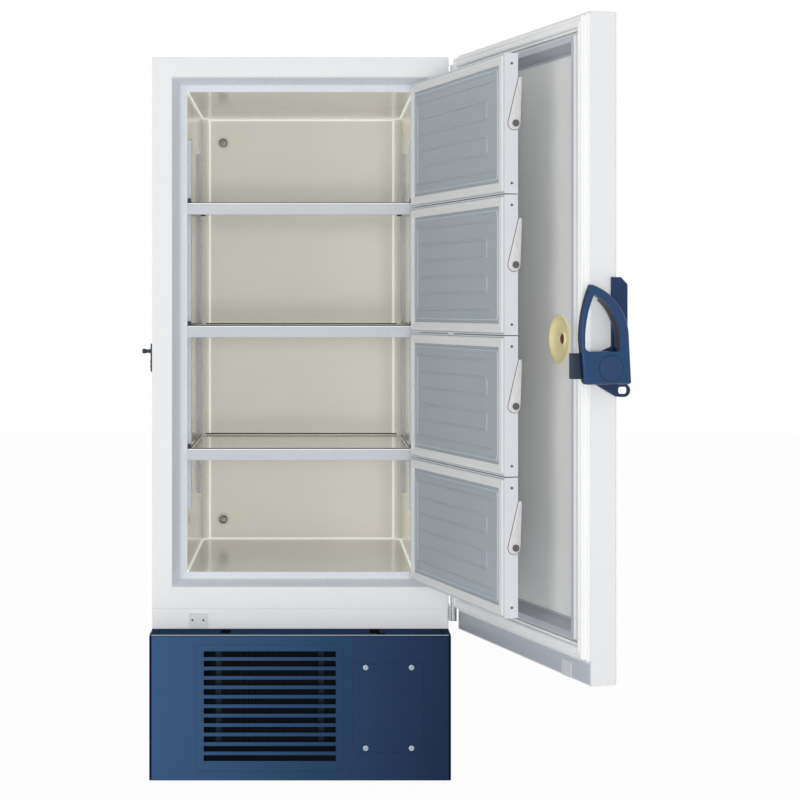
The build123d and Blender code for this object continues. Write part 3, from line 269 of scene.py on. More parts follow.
panLow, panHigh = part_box("base_front_panel")
# Painted light: a lit blue at the base panel's left end and a shaded blue at its right end
baseLitAndShadedBlues = ((0.036, 0.095, 0.205), (0.004, 0.02, 0.062), (panLow.x, panHigh.x), 0.36)
finishes = {
    # the record's material slots
    "white_paint": paintFinish("whitePaint", (0.815, 0.825, 0.84), 0.36, 0.07),
    "blue_paint": paintedSideLight("bluePaint", *baseLitAndShadedBlues),
    "blue_plastic": plasticFinish("bluePlastic", (0.018, 0.055, 0.14), 0.24, 0),
    "foam": foamFinish("foam", (0.85, 0.78, 0.55)),
    "liner_steel": enamelFinish("linerEnamel", (0.935, 0.918, 0.84), 0.13),
    "collar_plastic": plasticFinish("collarPlastic", (0.73, 0.76, 0.81), 0.3),
    "door_plastic": plasticFinish("rimPlastic", (0.76, 0.78, 0.805), 0.33),
    "panel_grey": plasticFinish("doorPanelGrey", (0.86, 0.86, 0.845), 0.5, 0.02, 700),
    "inner_panel": plasticFinish("innerPanelGrey", (0.385, 0.43, 0.47), 0.38, 0.08, 420),
    "inner_shell": plasticFinish("innerDoorWhite", (0.72, 0.745, 0.785), 0.32),
    "gasket": rubberFinish("sealCream", (0.74, 0.745, 0.745)),
    "steel": brushedFinish("polishedSteel", (0.5, 0.51, 0.53), 0.26, (0.05, 1, 1)),
    "copper": brushedFinish("copperTube", (0.55, 0.25, 0.14), 0.3, (1, 1, 0.1)),
    "cream_plastic": plasticFinish("portCream", (0.88, 0.81, 0.47), 0.3, 0.05),
    "grey_plastic": plasticFinish("plateGrey", (0.52, 0.54, 0.56), 0.4),
    "black_plastic": plasticFinish("blackPlastic", (0.018, 0.018, 0.02), 0.4),
    "display_glass": glassFinish("displayGlass", (0.012, 0.014, 0.018)),
    "fin_aluminium": brushedFinish("finMetal", (0.05, 0.05, 0.055), 0.5, (1, 1, 0.1), 0.6),
    "black_steel": paintFinish("keeperBlack", (0.014, 0.02, 0.034), 0.35, 0.1),
    "compressor_iron": castFinish("compressorBlack", (0.02, 0.02, 0.022), 0.45),
    "caster_rubber": rubberFinish("wheelRubber", (0.05, 0.05, 0.055)),
    # finer differences between single pieces
    "sealWhite": rubberFinish("linerSealant", (0.93, 0.93, 0.9), 0.25),
    "standardZinc": paintFinish("standardZinc", (0.64, 0.665, 0.72), 0.35, 0.02),
    "rubberWhite": rubberFinish("doorSealWhite", (0.895, 0.9, 0.9), 0.45),
    "sillGrey": plasticFinish("sillGrey", (0.46, 0.49, 0.54), 0.4),
    "trayGapShade": plasticFinish("trayGapShadow", (0.035, 0.028, 0.022), 0.35),
    "stripGrey": plasticFinish("stripGrey", (0.58, 0.605, 0.65), 0.3, 0.02),
    "trayEnamel": enamelFinish("trayEnamel", (0.93, 0.92, 0.88), 0.16, 0.7),
    "portRing": plasticFinish("portRing", (0.82, 0.8, 0.72), 0.3),
    "recessShadeGrey": plasticFinish("recessShadeGrey", (0.46, 0.48, 0.53), 0.4),
    "darkSteel": brushedFinish("darkSteel", (0.13, 0.12, 0.118), 0.45, (1, 1, 1), 0.0),
    "brightSteel": brushedFinish("brightSteel", (0.5, 0.53, 0.57), 0.3, (1, 1, 1), 0.5),
    "frameBlue": paintedSideLight("frameBlue", *baseLitAndShadedBlues, paintedShadeBehindLouvres),
    "paintedHighlightWhite": rubberFinish("paintedHighlightGlow", (0.94, 0.94, 0.92), 0.2),
    "treadShadeGrey": plasticFinish("treadShadeGrey", (0.62, 0.645, 0.68), 0.35, 0.02),
    "plateLight": plasticFinish("plateLight", (0.68, 0.695, 0.71), 0.4, 0.02),
    "matteBlack": rubberFinish("bayBlack", (0.006, 0.007, 0.009), 0.9),
    "bracketBlue": plasticFinish("bracketBlue", (0.012, 0.034, 0.098), 0.3, 0),
    "finShadeBlack": rubberFinish("finEdge", (0.05, 0.05, 0.053), 0.7),
    "borderHighlightBlue": plasticFinish("borderHighlightBlue", (0.52, 0.61, 0.69), 0.35, 0),
    "padGrey": rubberFinish("padGrey", (0.2, 0.195, 0.195), 0.6),
    "ledgeNavy": rubberFinish("ledgeNavy", (0.024, 0.05, 0.105), 0.7),
    "edgeShadeNavy": rubberFinish("edgeShadeNavy", (0.005, 0.011, 0.028), 0.7),
    "foldPaintedHighlight": rubberFinish("foldPaintedHighlight", (0.3, 0.33, 0.37), 0.4),
    "coreBrown": rubberFinish("portCoreBrown", (0.15, 0.035, 0.018), 0.4),
    "clawBlue": plasticFinish("clawBlue", (0.022, 0.036, 0.06), 0.4, 0.12),
    "latchWhite": brushedFinish("latchPlate", (0.8, 0.785, 0.785), 0.32, (1, 1, 0.2), 0.2),
    "digitGlow": glassFinish("digitGlow", (0.1, 0.45, 0.6)),
}
for matt in ("matteBlack", "finShadeBlack", "ledgeNavy", "edgeShadeNavy"):
    finishes[matt].set(Specular_IOR_Level=0.0)
for blue in ("blue_plastic", "bracketBlue", "clawBlue"):
    finishes[blue].set(Specular_IOR_Level=0.26)
# Painted highlights: the white highlight beads glow a little
finishes["paintedHighlightWhite"].set(Emission_Color=(1, 1, 0.98), Emission_Strength=0.3)
finishes["digitGlow"].set(Emission_Color=(0.25, 0.8, 1.0), Emission_Strength=1.2)

# The condenser's matte black is painted shade behind the louvres
special = {"shelf_standards": "standardZinc", "access_ports": "portRing", "condenser": "matteBlack",
           "base_frame": "frameBlue", "sensor_plate": "plateLight", "door_sensor_plate": "plateLight"}
for part in frame["record"]["subparts"]:
    finish = finishes[special.get(part["node"], part["material_slot"])]
    for place in nodes[part["node"]].material_slots:
        place.material = finish.material
print("finishes made:", len(finishes))


# Mesh tools

def outward(mesh):
    work = bmesh.new()
    work.from_mesh(mesh)
    bmesh.ops.remove_doubles(work, verts=work.verts, dist=1e-6)
    bmesh.ops.recalc_face_normals(work, faces=work.faces)
    work.to_mesh(mesh)
    work.free()
    return mesh


def ringMesh(rings, closed=True):
    count = len(rings[0])
    faces = []
    for band in range(len(rings) if closed else len(rings) - 1):
        near = band * count
        far = (band + 1) % len(rings) * count
        for k in range(count):
            after = (k + 1) % count
            faces.append((near + k, near + after, far + after, far + k))
    if not closed:
        last = (len(rings) - 1) * count
        faces.append(tuple(reversed(range(count))))
        faces.append(tuple(range(last, last + count)))
    mesh = bpy.data.meshes.new("rings")
    mesh.from_pydata([p for ring in rings for p in ring], [], faces)
    return outward(mesh)


def joined(meshes):
    work = bmesh.new()
    for mesh in meshes:
        work.from_mesh(mesh)
    made = bpy.data.meshes.new("joined")
    work.to_mesh(made)
    work.free()
    return made


# Rounds the corners of an outline, each given as two places and a radius
def softened(corners, steps=4):
    made = []
    for k, (a, b, radius) in enumerate(corners):
        here = Vector((a, b))
        if not radius:
            made.append(here)
            continue
        before = Vector(corners[k - 1][:2]) - here
        after = Vector(corners[(k + 1) % len(corners)][:2]) - here
        half = before.angle(after) / 2
        reach = min(radius / tan(half), 0.48 * before.length, 0.48 * after.length)
        centre = here + (before.normalized() + after.normalized()).normalized() * reach / cos(half)
        spoke = here + before.normalized() * reach - centre
        turn = spoke.angle_signed(here + after.normalized() * reach - centre)
        for step in range(steps + 1):
            made.append(centre + Matrix.Rotation(-turn * step / steps, 2) @ spoke)
    return made


squareCorner = 0.0002


def frameRing(box, inset, y, corner=squareCorner, endShare=1.0, steps=4):
    left, right, foot, top = box
    x0, x1 = left + inset + corner, right - inset - corner
    z0, z1 = foot + inset * endShare + corner, top - inset * endShare - corner
    ring = []
    for quarter, (x, z) in enumerate(((x1, z1), (x0, z1), (x0, z0), (x1, z0))):
        for step in range(steps + 1):
            angle = pi / 2 * (quarter + step / steps)
            ring.append((x + corner * cos(angle), y, z + corner * sin(angle)))
    return ring


def frameSweep(box, profile):
    outline = softened([(a * mm, b * mm, r * mm) for a, b, r in profile])
    return ringMesh([frameRing(box, p.x, p.y) for p in outline])


# As frameSweep, but with the insets at the sides and at the ends given apart
def rowSweep(box, rows):
    return ringMesh([frameRing(box, side * mm, y * mm, endShare=end / side if side else 1)
                     for side, end, y in rows])


def barMesh(outline, x0, x1):
    return ringMesh([[(x, p.x, p.y) for p in outline] for x in (x0, x1)], closed=False)


# Turned round the Y axis, from radius and depth in mm, and set in its place
def latheMesh(profile, place, segments=64, closed=False):
    spokes = [(cos(2 * pi * k / segments), sin(2 * pi * k / segments)) for k in range(segments)]
    mesh = ringMesh([[(radius * a * mm, depth * mm, radius * b * mm) for a, b in spokes]
                     for radius, depth in profile], closed)
    mesh.transform(place)
    return mesh


def blockMesh(low, high, bevel, steps=2):
    low, high = Vector(low), Vector(high)
    work = bmesh.new()
    bmesh.ops.create_cube(work, size=1)
    fit = Matrix.Translation((low + high) / 2) @ Matrix.Diagonal((*(high - low), 1))
    bmesh.ops.transform(work, matrix=fit, verts=work.verts)
    bmesh.ops.bevel(work, geom=work.edges, offset=bevel, segments=steps, profile=0.5, affect="EDGES")
    made = bpy.data.meshes.new("block")
    work.to_mesh(made)
    work.free()
    return made


def evaluated(holder):
    return bpy.data.meshes.new_from_object(holder.evaluated_get(bpy.context.evaluated_depsgraph_get()))


# A plate with its outlines in Y and Z and its thickness along X
def sidePlate(outlines, x0, x1, bevel, steps=3):
    curve = bpy.data.curves.new("outline", "CURVE")
    curve.dimensions = "2D"
    curve.fill_mode = "BOTH"
    curve.extrude = (x1 - x0) / 2 - bevel
    curve.bevel_depth = bevel
    curve.bevel_resolution = steps
    curve.offset = -bevel
    for outline in outlines:
        spline = curve.splines.new("POLY")
        spline.points.add(len(outline) - 1)
        for point, (a, b) in zip(spline.points, outline):
            point.co = (a, b, 0, 1)
        spline.use_cyclic_u = True
    holder = bpy.data.objects.new("outline", curve)
    scene.collection.objects.link(holder)
    mesh = evaluated(holder)
    bpy.data.objects.remove(holder)
    outward(mesh)
    facingSide = Matrix(((0, 0, 1, 0), (1, 0, 0, 0), (0, 1, 0, 0), (0, 0, 0, 1)))
    mesh.transform(Matrix.Translation(((x0 + x1) / 2, 0, 0)) @ facingSide)
    return mesh


def addPiece(name, mesh, finish, body, standsFor=(), sharp=38):
    mesh.transform(swings[body])
    for face in mesh.polygons:
        face.use_smooth = True
    mesh.set_sharp_from_angle(angle=radians(sharp))
    mesh.materials.clear()
    mesh.materials.append(finishes[finish].material)
    piece = bpy.data.objects.new(name, mesh)
    scene.collection.objects.link(piece)
    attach(piece, body)
    if standsFor:
        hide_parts(*standsFor)


# Geometry node trees for what repeats or follows a path

class Grower:
    def __init__(self, name, **inputs):
        self.tree = bpy.data.node_groups.new(name, "GeometryNodeTree")
        sockets = self.tree.interface
        sockets.new_socket("Geometry", in_out="INPUT", socket_type="NodeSocketGeometry")
        for label, kind in [*inputs.items(), ("Finish", "Material")]:
            sockets.new_socket(label.replace("_", " "), in_out="INPUT", socket_type="NodeSocket" + kind)
        sockets.new_socket("Geometry", in_out="OUTPUT", socket_type="NodeSocketGeometry")
        self.start = self.tree.nodes.new("NodeGroupInput")
        self.end = self.tree.nodes.new("NodeGroupOutput")

    def node(self, kind, settings=None, inputs=None):
        made = self.tree.nodes.new(kind)
        for key, value in (settings or {}).items():
            setattr(made, key, value)
        for key, value in (inputs or {}).items():
            for source in value if isinstance(value, list) else [value]:
                if isinstance(source, bpy.types.NodeSocket):
                    self.tree.links.new(source, made.inputs[key])
                else:
                    made.inputs[key].default_value = source
        return made.outputs[0]

    def given(self, label):
        return self.start.outputs[label]

    def close(self, shape):
        real = self.node("GeometryNodeRealizeInstances", {}, {0: shape})
        painted = self.node("GeometryNodeSetMaterial", {},
                            {"Geometry": real, "Material": self.given("Finish")})
        self.tree.links.new(painted, self.end.inputs[0])
        return self

    def mesh(self, points, edges, finish, values, aims=None):
        values["Finish"] = finishes[finish].material
        seed = bpy.data.meshes.new("seed")
        seed.from_pydata(points, edges, [])
        if aims:
            aim = seed.attributes.new("aim", "FLOAT_VECTOR", "POINT")
            aim.data.foreach_set("vector", [c for vector in aims for c in vector])
        holder = bpy.data.objects.new("seed", seed)
        scene.collection.objects.link(holder)
        modifier = holder.modifiers.new("grow", "NODES")
        modifier.node_group = self.tree
        for item in self.tree.interface.items_tree:
            if item.item_type == "SOCKET" and item.in_out == "INPUT" and item.name in values:
                modifier[item.identifier] = values[item.name]
        made = evaluated(holder)
        holder.modifiers.remove(modifier)
        bpy.data.objects.remove(holder)
        return made


def beadGrower():
    grower = Grower("beadAlongPath", Bead_Radius="Float", Bend_Radius="Float")
    line = grower.node("GeometryNodeMeshToCurve", {}, {0: grower.given("Geometry")})
    bent = grower.node("GeometryNodeFilletCurve", {"mode": "POLY"},
                       {"Curve": line, "Count": 6, "Limit Radius": True,
                        "Radius": grower.given("Bend Radius")})
    ring = grower.node("GeometryNodeCurvePrimitiveCircle", {},
                       {"Resolution": 12, "Radius": grower.given("Bead Radius")})
    return grower.close(grower.node("GeometryNodeCurveToMesh", {},
                                    {"Curve": bent, "Profile Curve": ring, "Fill Caps": True}))


# A dome cut by a cross and by the plane it lies on
def screwGrower():
    grower = Grower("crossHeadScrew", Head_Radius="Float", Head_Height="Float")
    radius, height = grower.given("Head Radius"), grower.given("Head Height")
    dome = grower.node("GeometryNodeMeshUVSphere", {}, {"Segments": 24, "Rings": 12, "Radius": 1.0})
    cutters = []
    for size, lift in (((1.1, 0.24, 0.9), 1), ((0.24, 1.1, 0.9), 1), ((3, 3, 2), -1)):
        cutter = grower.node("GeometryNodeMeshCube", {}, {"Size": size})
        cutters.append(grower.node("GeometryNodeTransform", {},
                                   {"Geometry": cutter, "Translation": (0, 0, lift)}))
    head = grower.node("GeometryNodeMeshBoolean", {"operation": "DIFFERENCE"},
                       {"Mesh 1": dome, "Mesh 2": cutters})
    size = grower.node("ShaderNodeCombineXYZ", {}, {"X": radius, "Y": radius, "Z": height})
    sized = grower.node("GeometryNodeTransform", {}, {"Geometry": head, "Scale": size})
    aim = grower.node("GeometryNodeInputNamedAttribute", {"data_type": "FLOAT_VECTOR"}, {"Name": "aim"})
    turned = grower.node("FunctionNodeAlignRotationToVector", {"axis": "Z"}, {"Vector": aim})
    return grower.close(grower.node("GeometryNodeInstanceOnPoints", {}, {
        "Points": grower.given("Geometry"), "Instance": sized, "Rotation": turned}))


def finGrower():
    grower = Grower("finPack", Count="Int", Pitch="Vector", Fin="Vector")
    row = grower.node("GeometryNodeMeshLine", {},
                      {"Count": grower.given("Count"), "Offset": grower.given("Pitch")})
    fin = grower.node("GeometryNodeMeshCube", {}, {"Size": grower.given("Fin")})
    return grower.close(grower.node("GeometryNodeInstanceOnPoints", {}, {"Points": row, "Instance": fin}))


beads = beadGrower()
screws = screwGrower()
fins = finGrower()
screwSunk = 0.1


def addBead(name, paths, radius, finish, body, bend=0.0):
    sizes = {"Bead Radius": radius * mm, "Bend Radius": bend * mm}
    meshes = [beads.mesh(path, [(k, k + 1) for k in range(len(path) - 1)], finish, sizes) for path in paths]
    addPiece(name, outward(joined(meshes)), finish, body)


def addScrews(name, spots, aim, radius, height, finish, body, standsFor=()):
    sizes = {"Head Radius": radius * mm, "Head Height": height * mm}
    mesh = screws.mesh(spots, [], finish, sizes, [aim] * len(spots))
    addPiece(name, mesh, finish, body, standsFor)


print("node trees built")


# Cabinet: bevelled collar round the doorway, with a fine bead where it meets the front frame

collar = {"rows": [(0, 0, 0.2), (3, 3, 0.2), (6, 6, 6.5), (9, 8.8, 12.7), (13, 12.2, 21.1), (18, 16, 31.6),
                   (22, 18.9, 40), (24, 19.4, 41.4), (25, 21, 42), (42, 37.8, 42), (42, 37.8, 44.6),
                   (20, 18, 44.6)],
          "bead": 0.7}
box = flatBox("breaker_collar", "cabinet")
addPiece("collarSweep", rowSweep(box, collar["rows"]), "collar_plastic", "cabinet",
         ["breaker_collar"])
left, right, foot, top = box
corners = [(left, 0, foot), (right, 0, foot), (right, 0, top), (left, 0, top), (left, 0, foot)]
addBead("collarBead", [corners], collar["bead"], "sealWhite", "cabinet")

# Painted highlights: white beads that glow a little, along the liner's rounded corners where they would catch
# light
seam = {"bead": 3.1, "sheet": 1.2, "side": 23, "end": 4, "front": 49, "bend": 22, "round": 12,
        "offBack": 0.8, "offSide": 1.2}
low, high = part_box("inner_liner")
sheet = Vector((seam["sheet"] * mm,) * 3)
low, high = low + sheet, high - sheet
backX = high.x - seam["side"] * mm
backY = high.y - seam["offBack"] * mm
sideX = high.x - seam["offSide"] * mm
floorZ = low.z + seam["offSide"] * mm
ceilingZ = high.z - seam["end"] * mm
paths = [[(-backX, backY, z), (backX, backY, z)] for z in (floorZ, ceilingZ)]
for side in (-1, 1):
    paths.append([(side * backX, backY, floorZ), (side * backX, backY, ceilingZ)])
    for z in (floorZ, high.z - seam["offSide"] * mm):
        paths.append([(side * sideX, seam["front"] * mm, z), (side * sideX, high.y - seam["bend"] * mm, z),
                      (side * backX, backY, z)])
addBead("linerCornerHighlights", paths, seam["bead"], "paintedHighlightWhite", "cabinet", seam["round"])

plateScrew = {"shares": (0.2, 0.8), "size": (3.2, 0.7)}
low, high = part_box("sensor_plate")
spots = [(low.x + (high.x - low.x) * share, low.y + screwSunk * mm, (low.z + high.z) / 2)
         for share in plateScrew["shares"]]
addScrews("plateScrews", spots, (0, -1, 0), *plateScrew["size"], "darkSteel", "cabinet")

# Port plugs stand clear of their sleeves at the cold end, where the nose sags a little
plug = {"stem": [(0.4, 802), (13.6, 802), (13.6, 872.4), (20.5, 872.4), (20.5, 881.4), (19.4, 882.4),
                 (0.4, 882.4)],
        "nose": [(0.4, 781), (7.6, 781), (8.6, 782.2), (8.6, 804), (0.4, 804)], "sag": 2.2, "head": 20.5}
low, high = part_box("access_ports")
plugs = []
for z in (low.z + plug["head"] * mm, high.z - plug["head"] * mm):
    for part, sag in (("stem", 0), ("nose", plug["sag"] * mm)):
        plugs.append(latheMesh(plug[part], Matrix.Translation(((low.x + high.x) / 2 + sag, 0, z - sag))))
addPiece("portPlugs", joined(plugs), "grey_plastic", "cabinet", ["port_plugs"])
print("collar, liner seams and plugs")


# Shelves: folded front strips, trays, painted shade lines for the gaps round the trays, a fine painted highlight
# line and end clips

shelf = {"strip": [(42, -15.5, 2), (42, 15.5, 2), (47, 15.5, 1), (47, 13.6, 0), (43.8, 13.6, 0.8),
                   (43.8, -13.6, 0.8), (47, -13.6, 0), (47, -15.5, 1)],
         "half": 15.5, "sheet": 1.5, "lip": 18, "upstand": 4, "wallBevel": 0.3,
         "gapShade": 1.7, "gapShadeFront": 49.4, "gapShadeRise": 1.4, "paintedLineIn": 2, "backIn": 9, "backOff": 1,
         "bar": (52, 540), "barRise": 5, "barOff": 0.8, "line": 1.3, "highlightFront": 43.6, "highlightDrop": 0.5,
         "clip": (9.5, 5, 14), "clipFront": 43.5, "clipLift": 0.2, "clipBevel": 0.8}
low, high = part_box("shelf_fronts")
trayLow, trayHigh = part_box("shelf_trays")
spacing = (high.z - low.z - 2 * shelf["half"] * mm) / (doorCount - 2)
strips = []
pans = []
gapShades = []
lines = []
clips = []


def acrossTray(ends, inset, y, z):
    return [(ends[0].x + inset * mm, y, z), (ends[1].x - inset * mm, y, z)]


for level in range(doorCount - 1):
    centre = low.z + shelf["half"] * mm + level * spacing
    strips.append(barMesh(softened([(a * mm, centre + b * mm, r * mm) for a, b, r in shelf["strip"]]),
                          low.x, high.x))
    top = centre + shelf["half"] * mm
    sheet = shelf["sheet"] * mm
    pan = top - sheet
    lip = pan - shelf["lip"] * mm
    upright = pan + shelf["upstand"] * mm
    trays = (trayLow, trayHigh)
    # Painted shade: dark lines along the trays' front, back and sides, for the shadow gaps between trays and walls
    gapShades.append(acrossTray(trays, shelf["paintedLineIn"], shelf["gapShadeFront"] * mm, top + shelf["gapShadeRise"] * mm))
    gapShades.append(acrossTray(trays, shelf["backIn"], trayHigh.y - shelf["backOff"] * mm, upright))
    # Painted highlight: a glowing white line along each strip's top edge
    lines.append(acrossTray((low, high), shelf["paintedLineIn"], shelf["highlightFront"] * mm,
                            top - shelf["highlightDrop"] * mm))
    fold = [(trayLow.y, lip), (trayLow.y + sheet, lip), (trayLow.y + sheet, pan - sheet),
            (trayHigh.y, pan - sheet), (trayHigh.y, upright), (trayHigh.y - sheet, upright),
            (trayHigh.y - sheet, pan), (trayLow.y, pan)]
    pans.append(barMesh([Vector(p) for p in fold], trayLow.x, trayHigh.x))
    for side in (-1, 1):
        barX = side * (trayHigh.x - shelf["barOff"] * mm)
        gapShades.append([(barX, y * mm, top + shelf["barRise"] * mm) for y in shelf["bar"]])
        walls = sorted((side * trayHigh.x, side * (trayHigh.x - sheet)))
        pans.append(blockMesh((walls[0], trayLow.y, pan), (walls[1], trayHigh.y, upright),
                              shelf["wallBevel"] * mm))
        wide, deep, tall = [v * mm for v in shelf["clip"]]
        ends = sorted((side * high.x, side * (high.x - wide)))
        clipY = shelf["clipFront"] * mm
        clips.append(blockMesh((ends[0], clipY, top + shelf["clipLift"] * mm),
                               (ends[1], clipY + deep, top + tall), shelf["clipBevel"] * mm))
addPiece("shelfStrips", joined(strips), "stripGrey", "cabinet", ["shelf_fronts"])
addPiece("shelfPans", joined(pans), "trayEnamel", "cabinet", ["shelf_trays"])
addBead("trayGapShadeLines", gapShades, shelf["gapShade"], "trayGapShade", "cabinet")
addBead("shelfHighlightLines", lines, shelf["line"], "paintedHighlightWhite", "cabinet")
addPiece("shelfEndClips", joined(clips), "black_plastic", "cabinet")
print("shelves dressed")


# Outer door: stepped rim, recess in painted shade, soft gasket, sill strip, pressure port

rim = {"profile": [(0, -24, 0), (0, -21, 0), (37, -21, 1), (37, -15, 1.6), (41, -15, 0.8), (41, -9.5, 1.6),
                   (46, -9.5, 1), (46, -1, 3), (50.5, -1, 1), (51.2, -2.6, 0.6), (53.2, -2.6, 0.6),
                   (54, -1, 1), (60, -1, 4), (60, -41, 3), (60.4, -44, 0), (56.5, -44, 0), (56.5, -24, 0)],
       "tread": [(37.5, -20, 0), (37.5, -14.6, 1.2), (41.5, -14.6, 0.6), (41.5, -9.1, 1.2),
                 (45.8, -9.1, 0.6), (45.8, -12, 0)],
       "recess": [(47, 47, -4), (47, 47, -0.8), (60.3, 60.3, -0.8), (60.5, 74, -40.8), (66, 80, -40.8),
                  (66, 80, -41.6), (57, 70, -41.6)],
       "seal": [(0, -21, 0), (0, -12, 1.6), (4.4, -12, 1), (4.4, -0.6, 4.5), (13, -0.6, 2), (14.6, -3.4, 1),
                (17, -3.4, 1), (18.6, -0.6, 2), (29.4, -0.6, 4.5), (29.4, -12, 1), (34.4, -12, 1.6),
                (34.4, -21, 0)]}
box = flatBox("door_liner", "outer_door")
sealBox = flatBox("door_gasket", "outer_door")
addPiece("doorRim", frameSweep(box, rim["profile"]), "door_plastic", "outer_door",
         ["door_liner"])
# Painted shade: the treads are a greyer share of the rim plastic, for faces that turn from the light
addPiece("doorTread", frameSweep(box, rim["tread"]), "treadShadeGrey", "outer_door")
# Painted shade: the recess walls and a narrow band over the crest's inner edge are a darker grey, for the shade in
# the recess
addPiece("doorRecessShade", rowSweep(box, rim["recess"]), "recessShadeGrey", "outer_door")
addPiece("doorSeal", frameSweep(sealBox, rim["seal"]), "rubberWhite", "outer_door", ["door_gasket"])

sill = {"rise": 49, "thick": 1.6, "edge": 6, "foot": 3, "sunk": 0.2, "bevel": 0.7}
doorLow, doorHigh = shutBox("door_shell", "outer_door")
edge = sill["edge"] * mm
strip = blockMesh((doorLow.x + edge, doorHigh.y - sill["sunk"] * mm, doorLow.z + sill["foot"] * mm),
                  (doorHigh.x - edge, doorHigh.y + sill["thick"] * mm, doorLow.z + sill["rise"] * mm),
                  sill["bevel"] * mm)
addPiece("doorSill", strip, "sillGrey", "outer_door")

port = {"wall": [(60, -44), (60, -39.4), (59.2, -38.4), (57.6, -38), (54.5, -38.6), (52.5, -39.6), (50, -44),
                 (46.5, -47.6), (41, -50), (27, -51), (20, -50.8), (17.6, -49.4), (16.4, -47.2),
                 (15.2, -46.4), (13.6, -46.8), (13.2, -50), (13.2, -52.6), (56.8, -52.6), (56.8, -44)],
        "core": [(0.6, -46.2), (4, -46.4), (9, -47.4), (12.2, -49.6), (12.8, -52.4), (5.8, -52.6), (5.8, -87),
                 (12, -87), (12, -88.4), (11, -89), (0.6, -89)]}
low, high = shutBox("pressure_port", "outer_door")
middle = Matrix.Translation(((low.x + high.x) / 2, 0, (low.z + high.z) / 2))
addPiece("portDish", latheMesh(port["wall"], middle, closed=True), "cream_plastic", "outer_door",
         ["pressure_port"])
addPiece("portCore", latheMesh(port["core"], middle), "coreBrown", "outer_door")
print("outer door dressed")


# Control panel on the door's front: a reading and a row of keys, all plain

panel = {"digit": (15, 27), "stroke": 3.4, "gap": 8, "rise": 20, "depth": (0.5, 0.3), "keys": 5,
         "keyPitch": 34, "keyDrop": 42,
         "key": [(0.3, -1.1), (6.4, -1.0), (7.8, -0.6), (8.5, 0.4), (0.3, 0.4)]}
low, high = shutBox("control_panel", "outer_door")
faceY = low.y
centreX = (low.x + high.x) / 2
centreZ = (low.z + high.z) / 2
segments = {"-": "g", "8": "abcdefg", "0": "abcdef"}
wide, tall = panel["digit"]
stroke = panel["stroke"]
proud, sunk = [v * mm for v in panel["depth"]]
bars = {"a": (0, tall), "g": (0, 0), "d": (0, -tall), "f": (-wide, tall / 2), "b": (wide, tall / 2),
        "e": (-wide, -tall / 2), "c": (wide, -tall / 2)}
strokes = []
for place, sign in enumerate("-80"):
    midX = centreX + (place - 1) * (2 * wide + panel["gap"] + stroke) * mm
    for bar in segments[sign]:
        across, up = bars[bar]
        level = bar in "agd"
        reachX = (wide - stroke if level else stroke / 2) * mm
        reachZ = (stroke / 2 if level else tall / 2 - stroke * 0.7) * mm
        spot = Vector((midX + across * mm, faceY, centreZ + (panel["rise"] + up) * mm))
        low, high = spot - Vector((reachX, proud, reachZ)), spot + Vector((reachX, sunk, reachZ))
        strokes.append(blockMesh(low, high, sunk))
addPiece("panelReading", joined(strokes), "digitGlow", "outer_door")
keyZ = centreZ - panel["keyDrop"] * mm
keySpots = [(centreX + (k - panel["keys"] // 2) * panel["keyPitch"] * mm, faceY, keyZ)
            for k in range(panel["keys"])]
addPiece("panelKeys", joined([latheMesh(panel["key"], Matrix.Translation(spot), 40) for spot in keySpots]),
         "grey_plastic", "outer_door")
print("control panel dressed")


# Inner doors: raised panel with a rolled border and pressed ribs, ridged seal, edge screws, latch lever

inner = {"panel": [(0, 33.6, 1), (0, 36, 1), (29, 36, 13), (30, 36.4, 12.5), (31.8, 39, 12),
                   (32.8, 39.5, 11.5), (38, 39.5, 9), (39.2, 39.2, 8.5), (41, 37.6, 8), (42, 37.5, 7.5)],
         "seal": [(0, 36, 0), (0, 39, 0.8), (2, 39, 0.4), (2, 40.8, 1.2), (10, 40.8, 1.2), (10, 39.7, 0.3),
                  (11.6, 39.7, 0.3), (11.6, 40.4, 0.6), (17, 40.4, 0.6), (17, 39.3, 0.3), (18.4, 39.3, 0.3),
                  (18.4, 39.8, 0.4), (22, 39.8, 0.6), (22, 36, 0)],
         "border": 1.3, "borderIn": 33.4, "borderY": 39.3, "borderCorner": 11,
         "lines": 6, "lineEnd": 60.2, "free": 80, "hinge": 66, "loopFree": 115, "loopHinge": 92, "ribY": 37.1,
         "rib": 2.9, "ribBend": 9, "screw": (3.4, 1.3), "screwIn": 25, "screwSunk": 0.05}
latch = {"end": 15.4, "tip": 4, "shift": 2.5, "slope": (-13, 108.5), "off": 0.5, "thick": 3.4, "bevel": 0.9,
         "pad": 1.6, "padDepth": (0.6, 0.2), "stud": 7.5, "head": 8.5, "headFoot": 2.3, "headHeight": 2.9,
         "hex": 3.6, "hexDepth": 0.5, "headEdge": 0.6}


def ribPaths(low, high):
    pitch = (high.z - low.z - 2 * inner["lineEnd"] * mm) / (inner["lines"] - 1)
    levels = [low.z + inner["lineEnd"] * mm + k * pitch for k in range(inner["lines"])]
    y = inner["ribY"] * mm
    free, hinge = low.x + inner["free"] * mm, high.x - inner["hinge"] * mm
    loopFree, loopHinge = low.x + inner["loopFree"] * mm, high.x - inner["loopHinge"] * mm
    paths = [[(free, y, levels[0]), (hinge, y, levels[0]), (hinge, y, levels[-1]), (free, y, levels[-1])]]
    for k in (1, 3):
        paths.append([(loopHinge, y, levels[k]), (loopFree, y, levels[k]), (loopFree, y, levels[k + 1]),
                      (loopHinge, y, levels[k + 1])])
    return paths


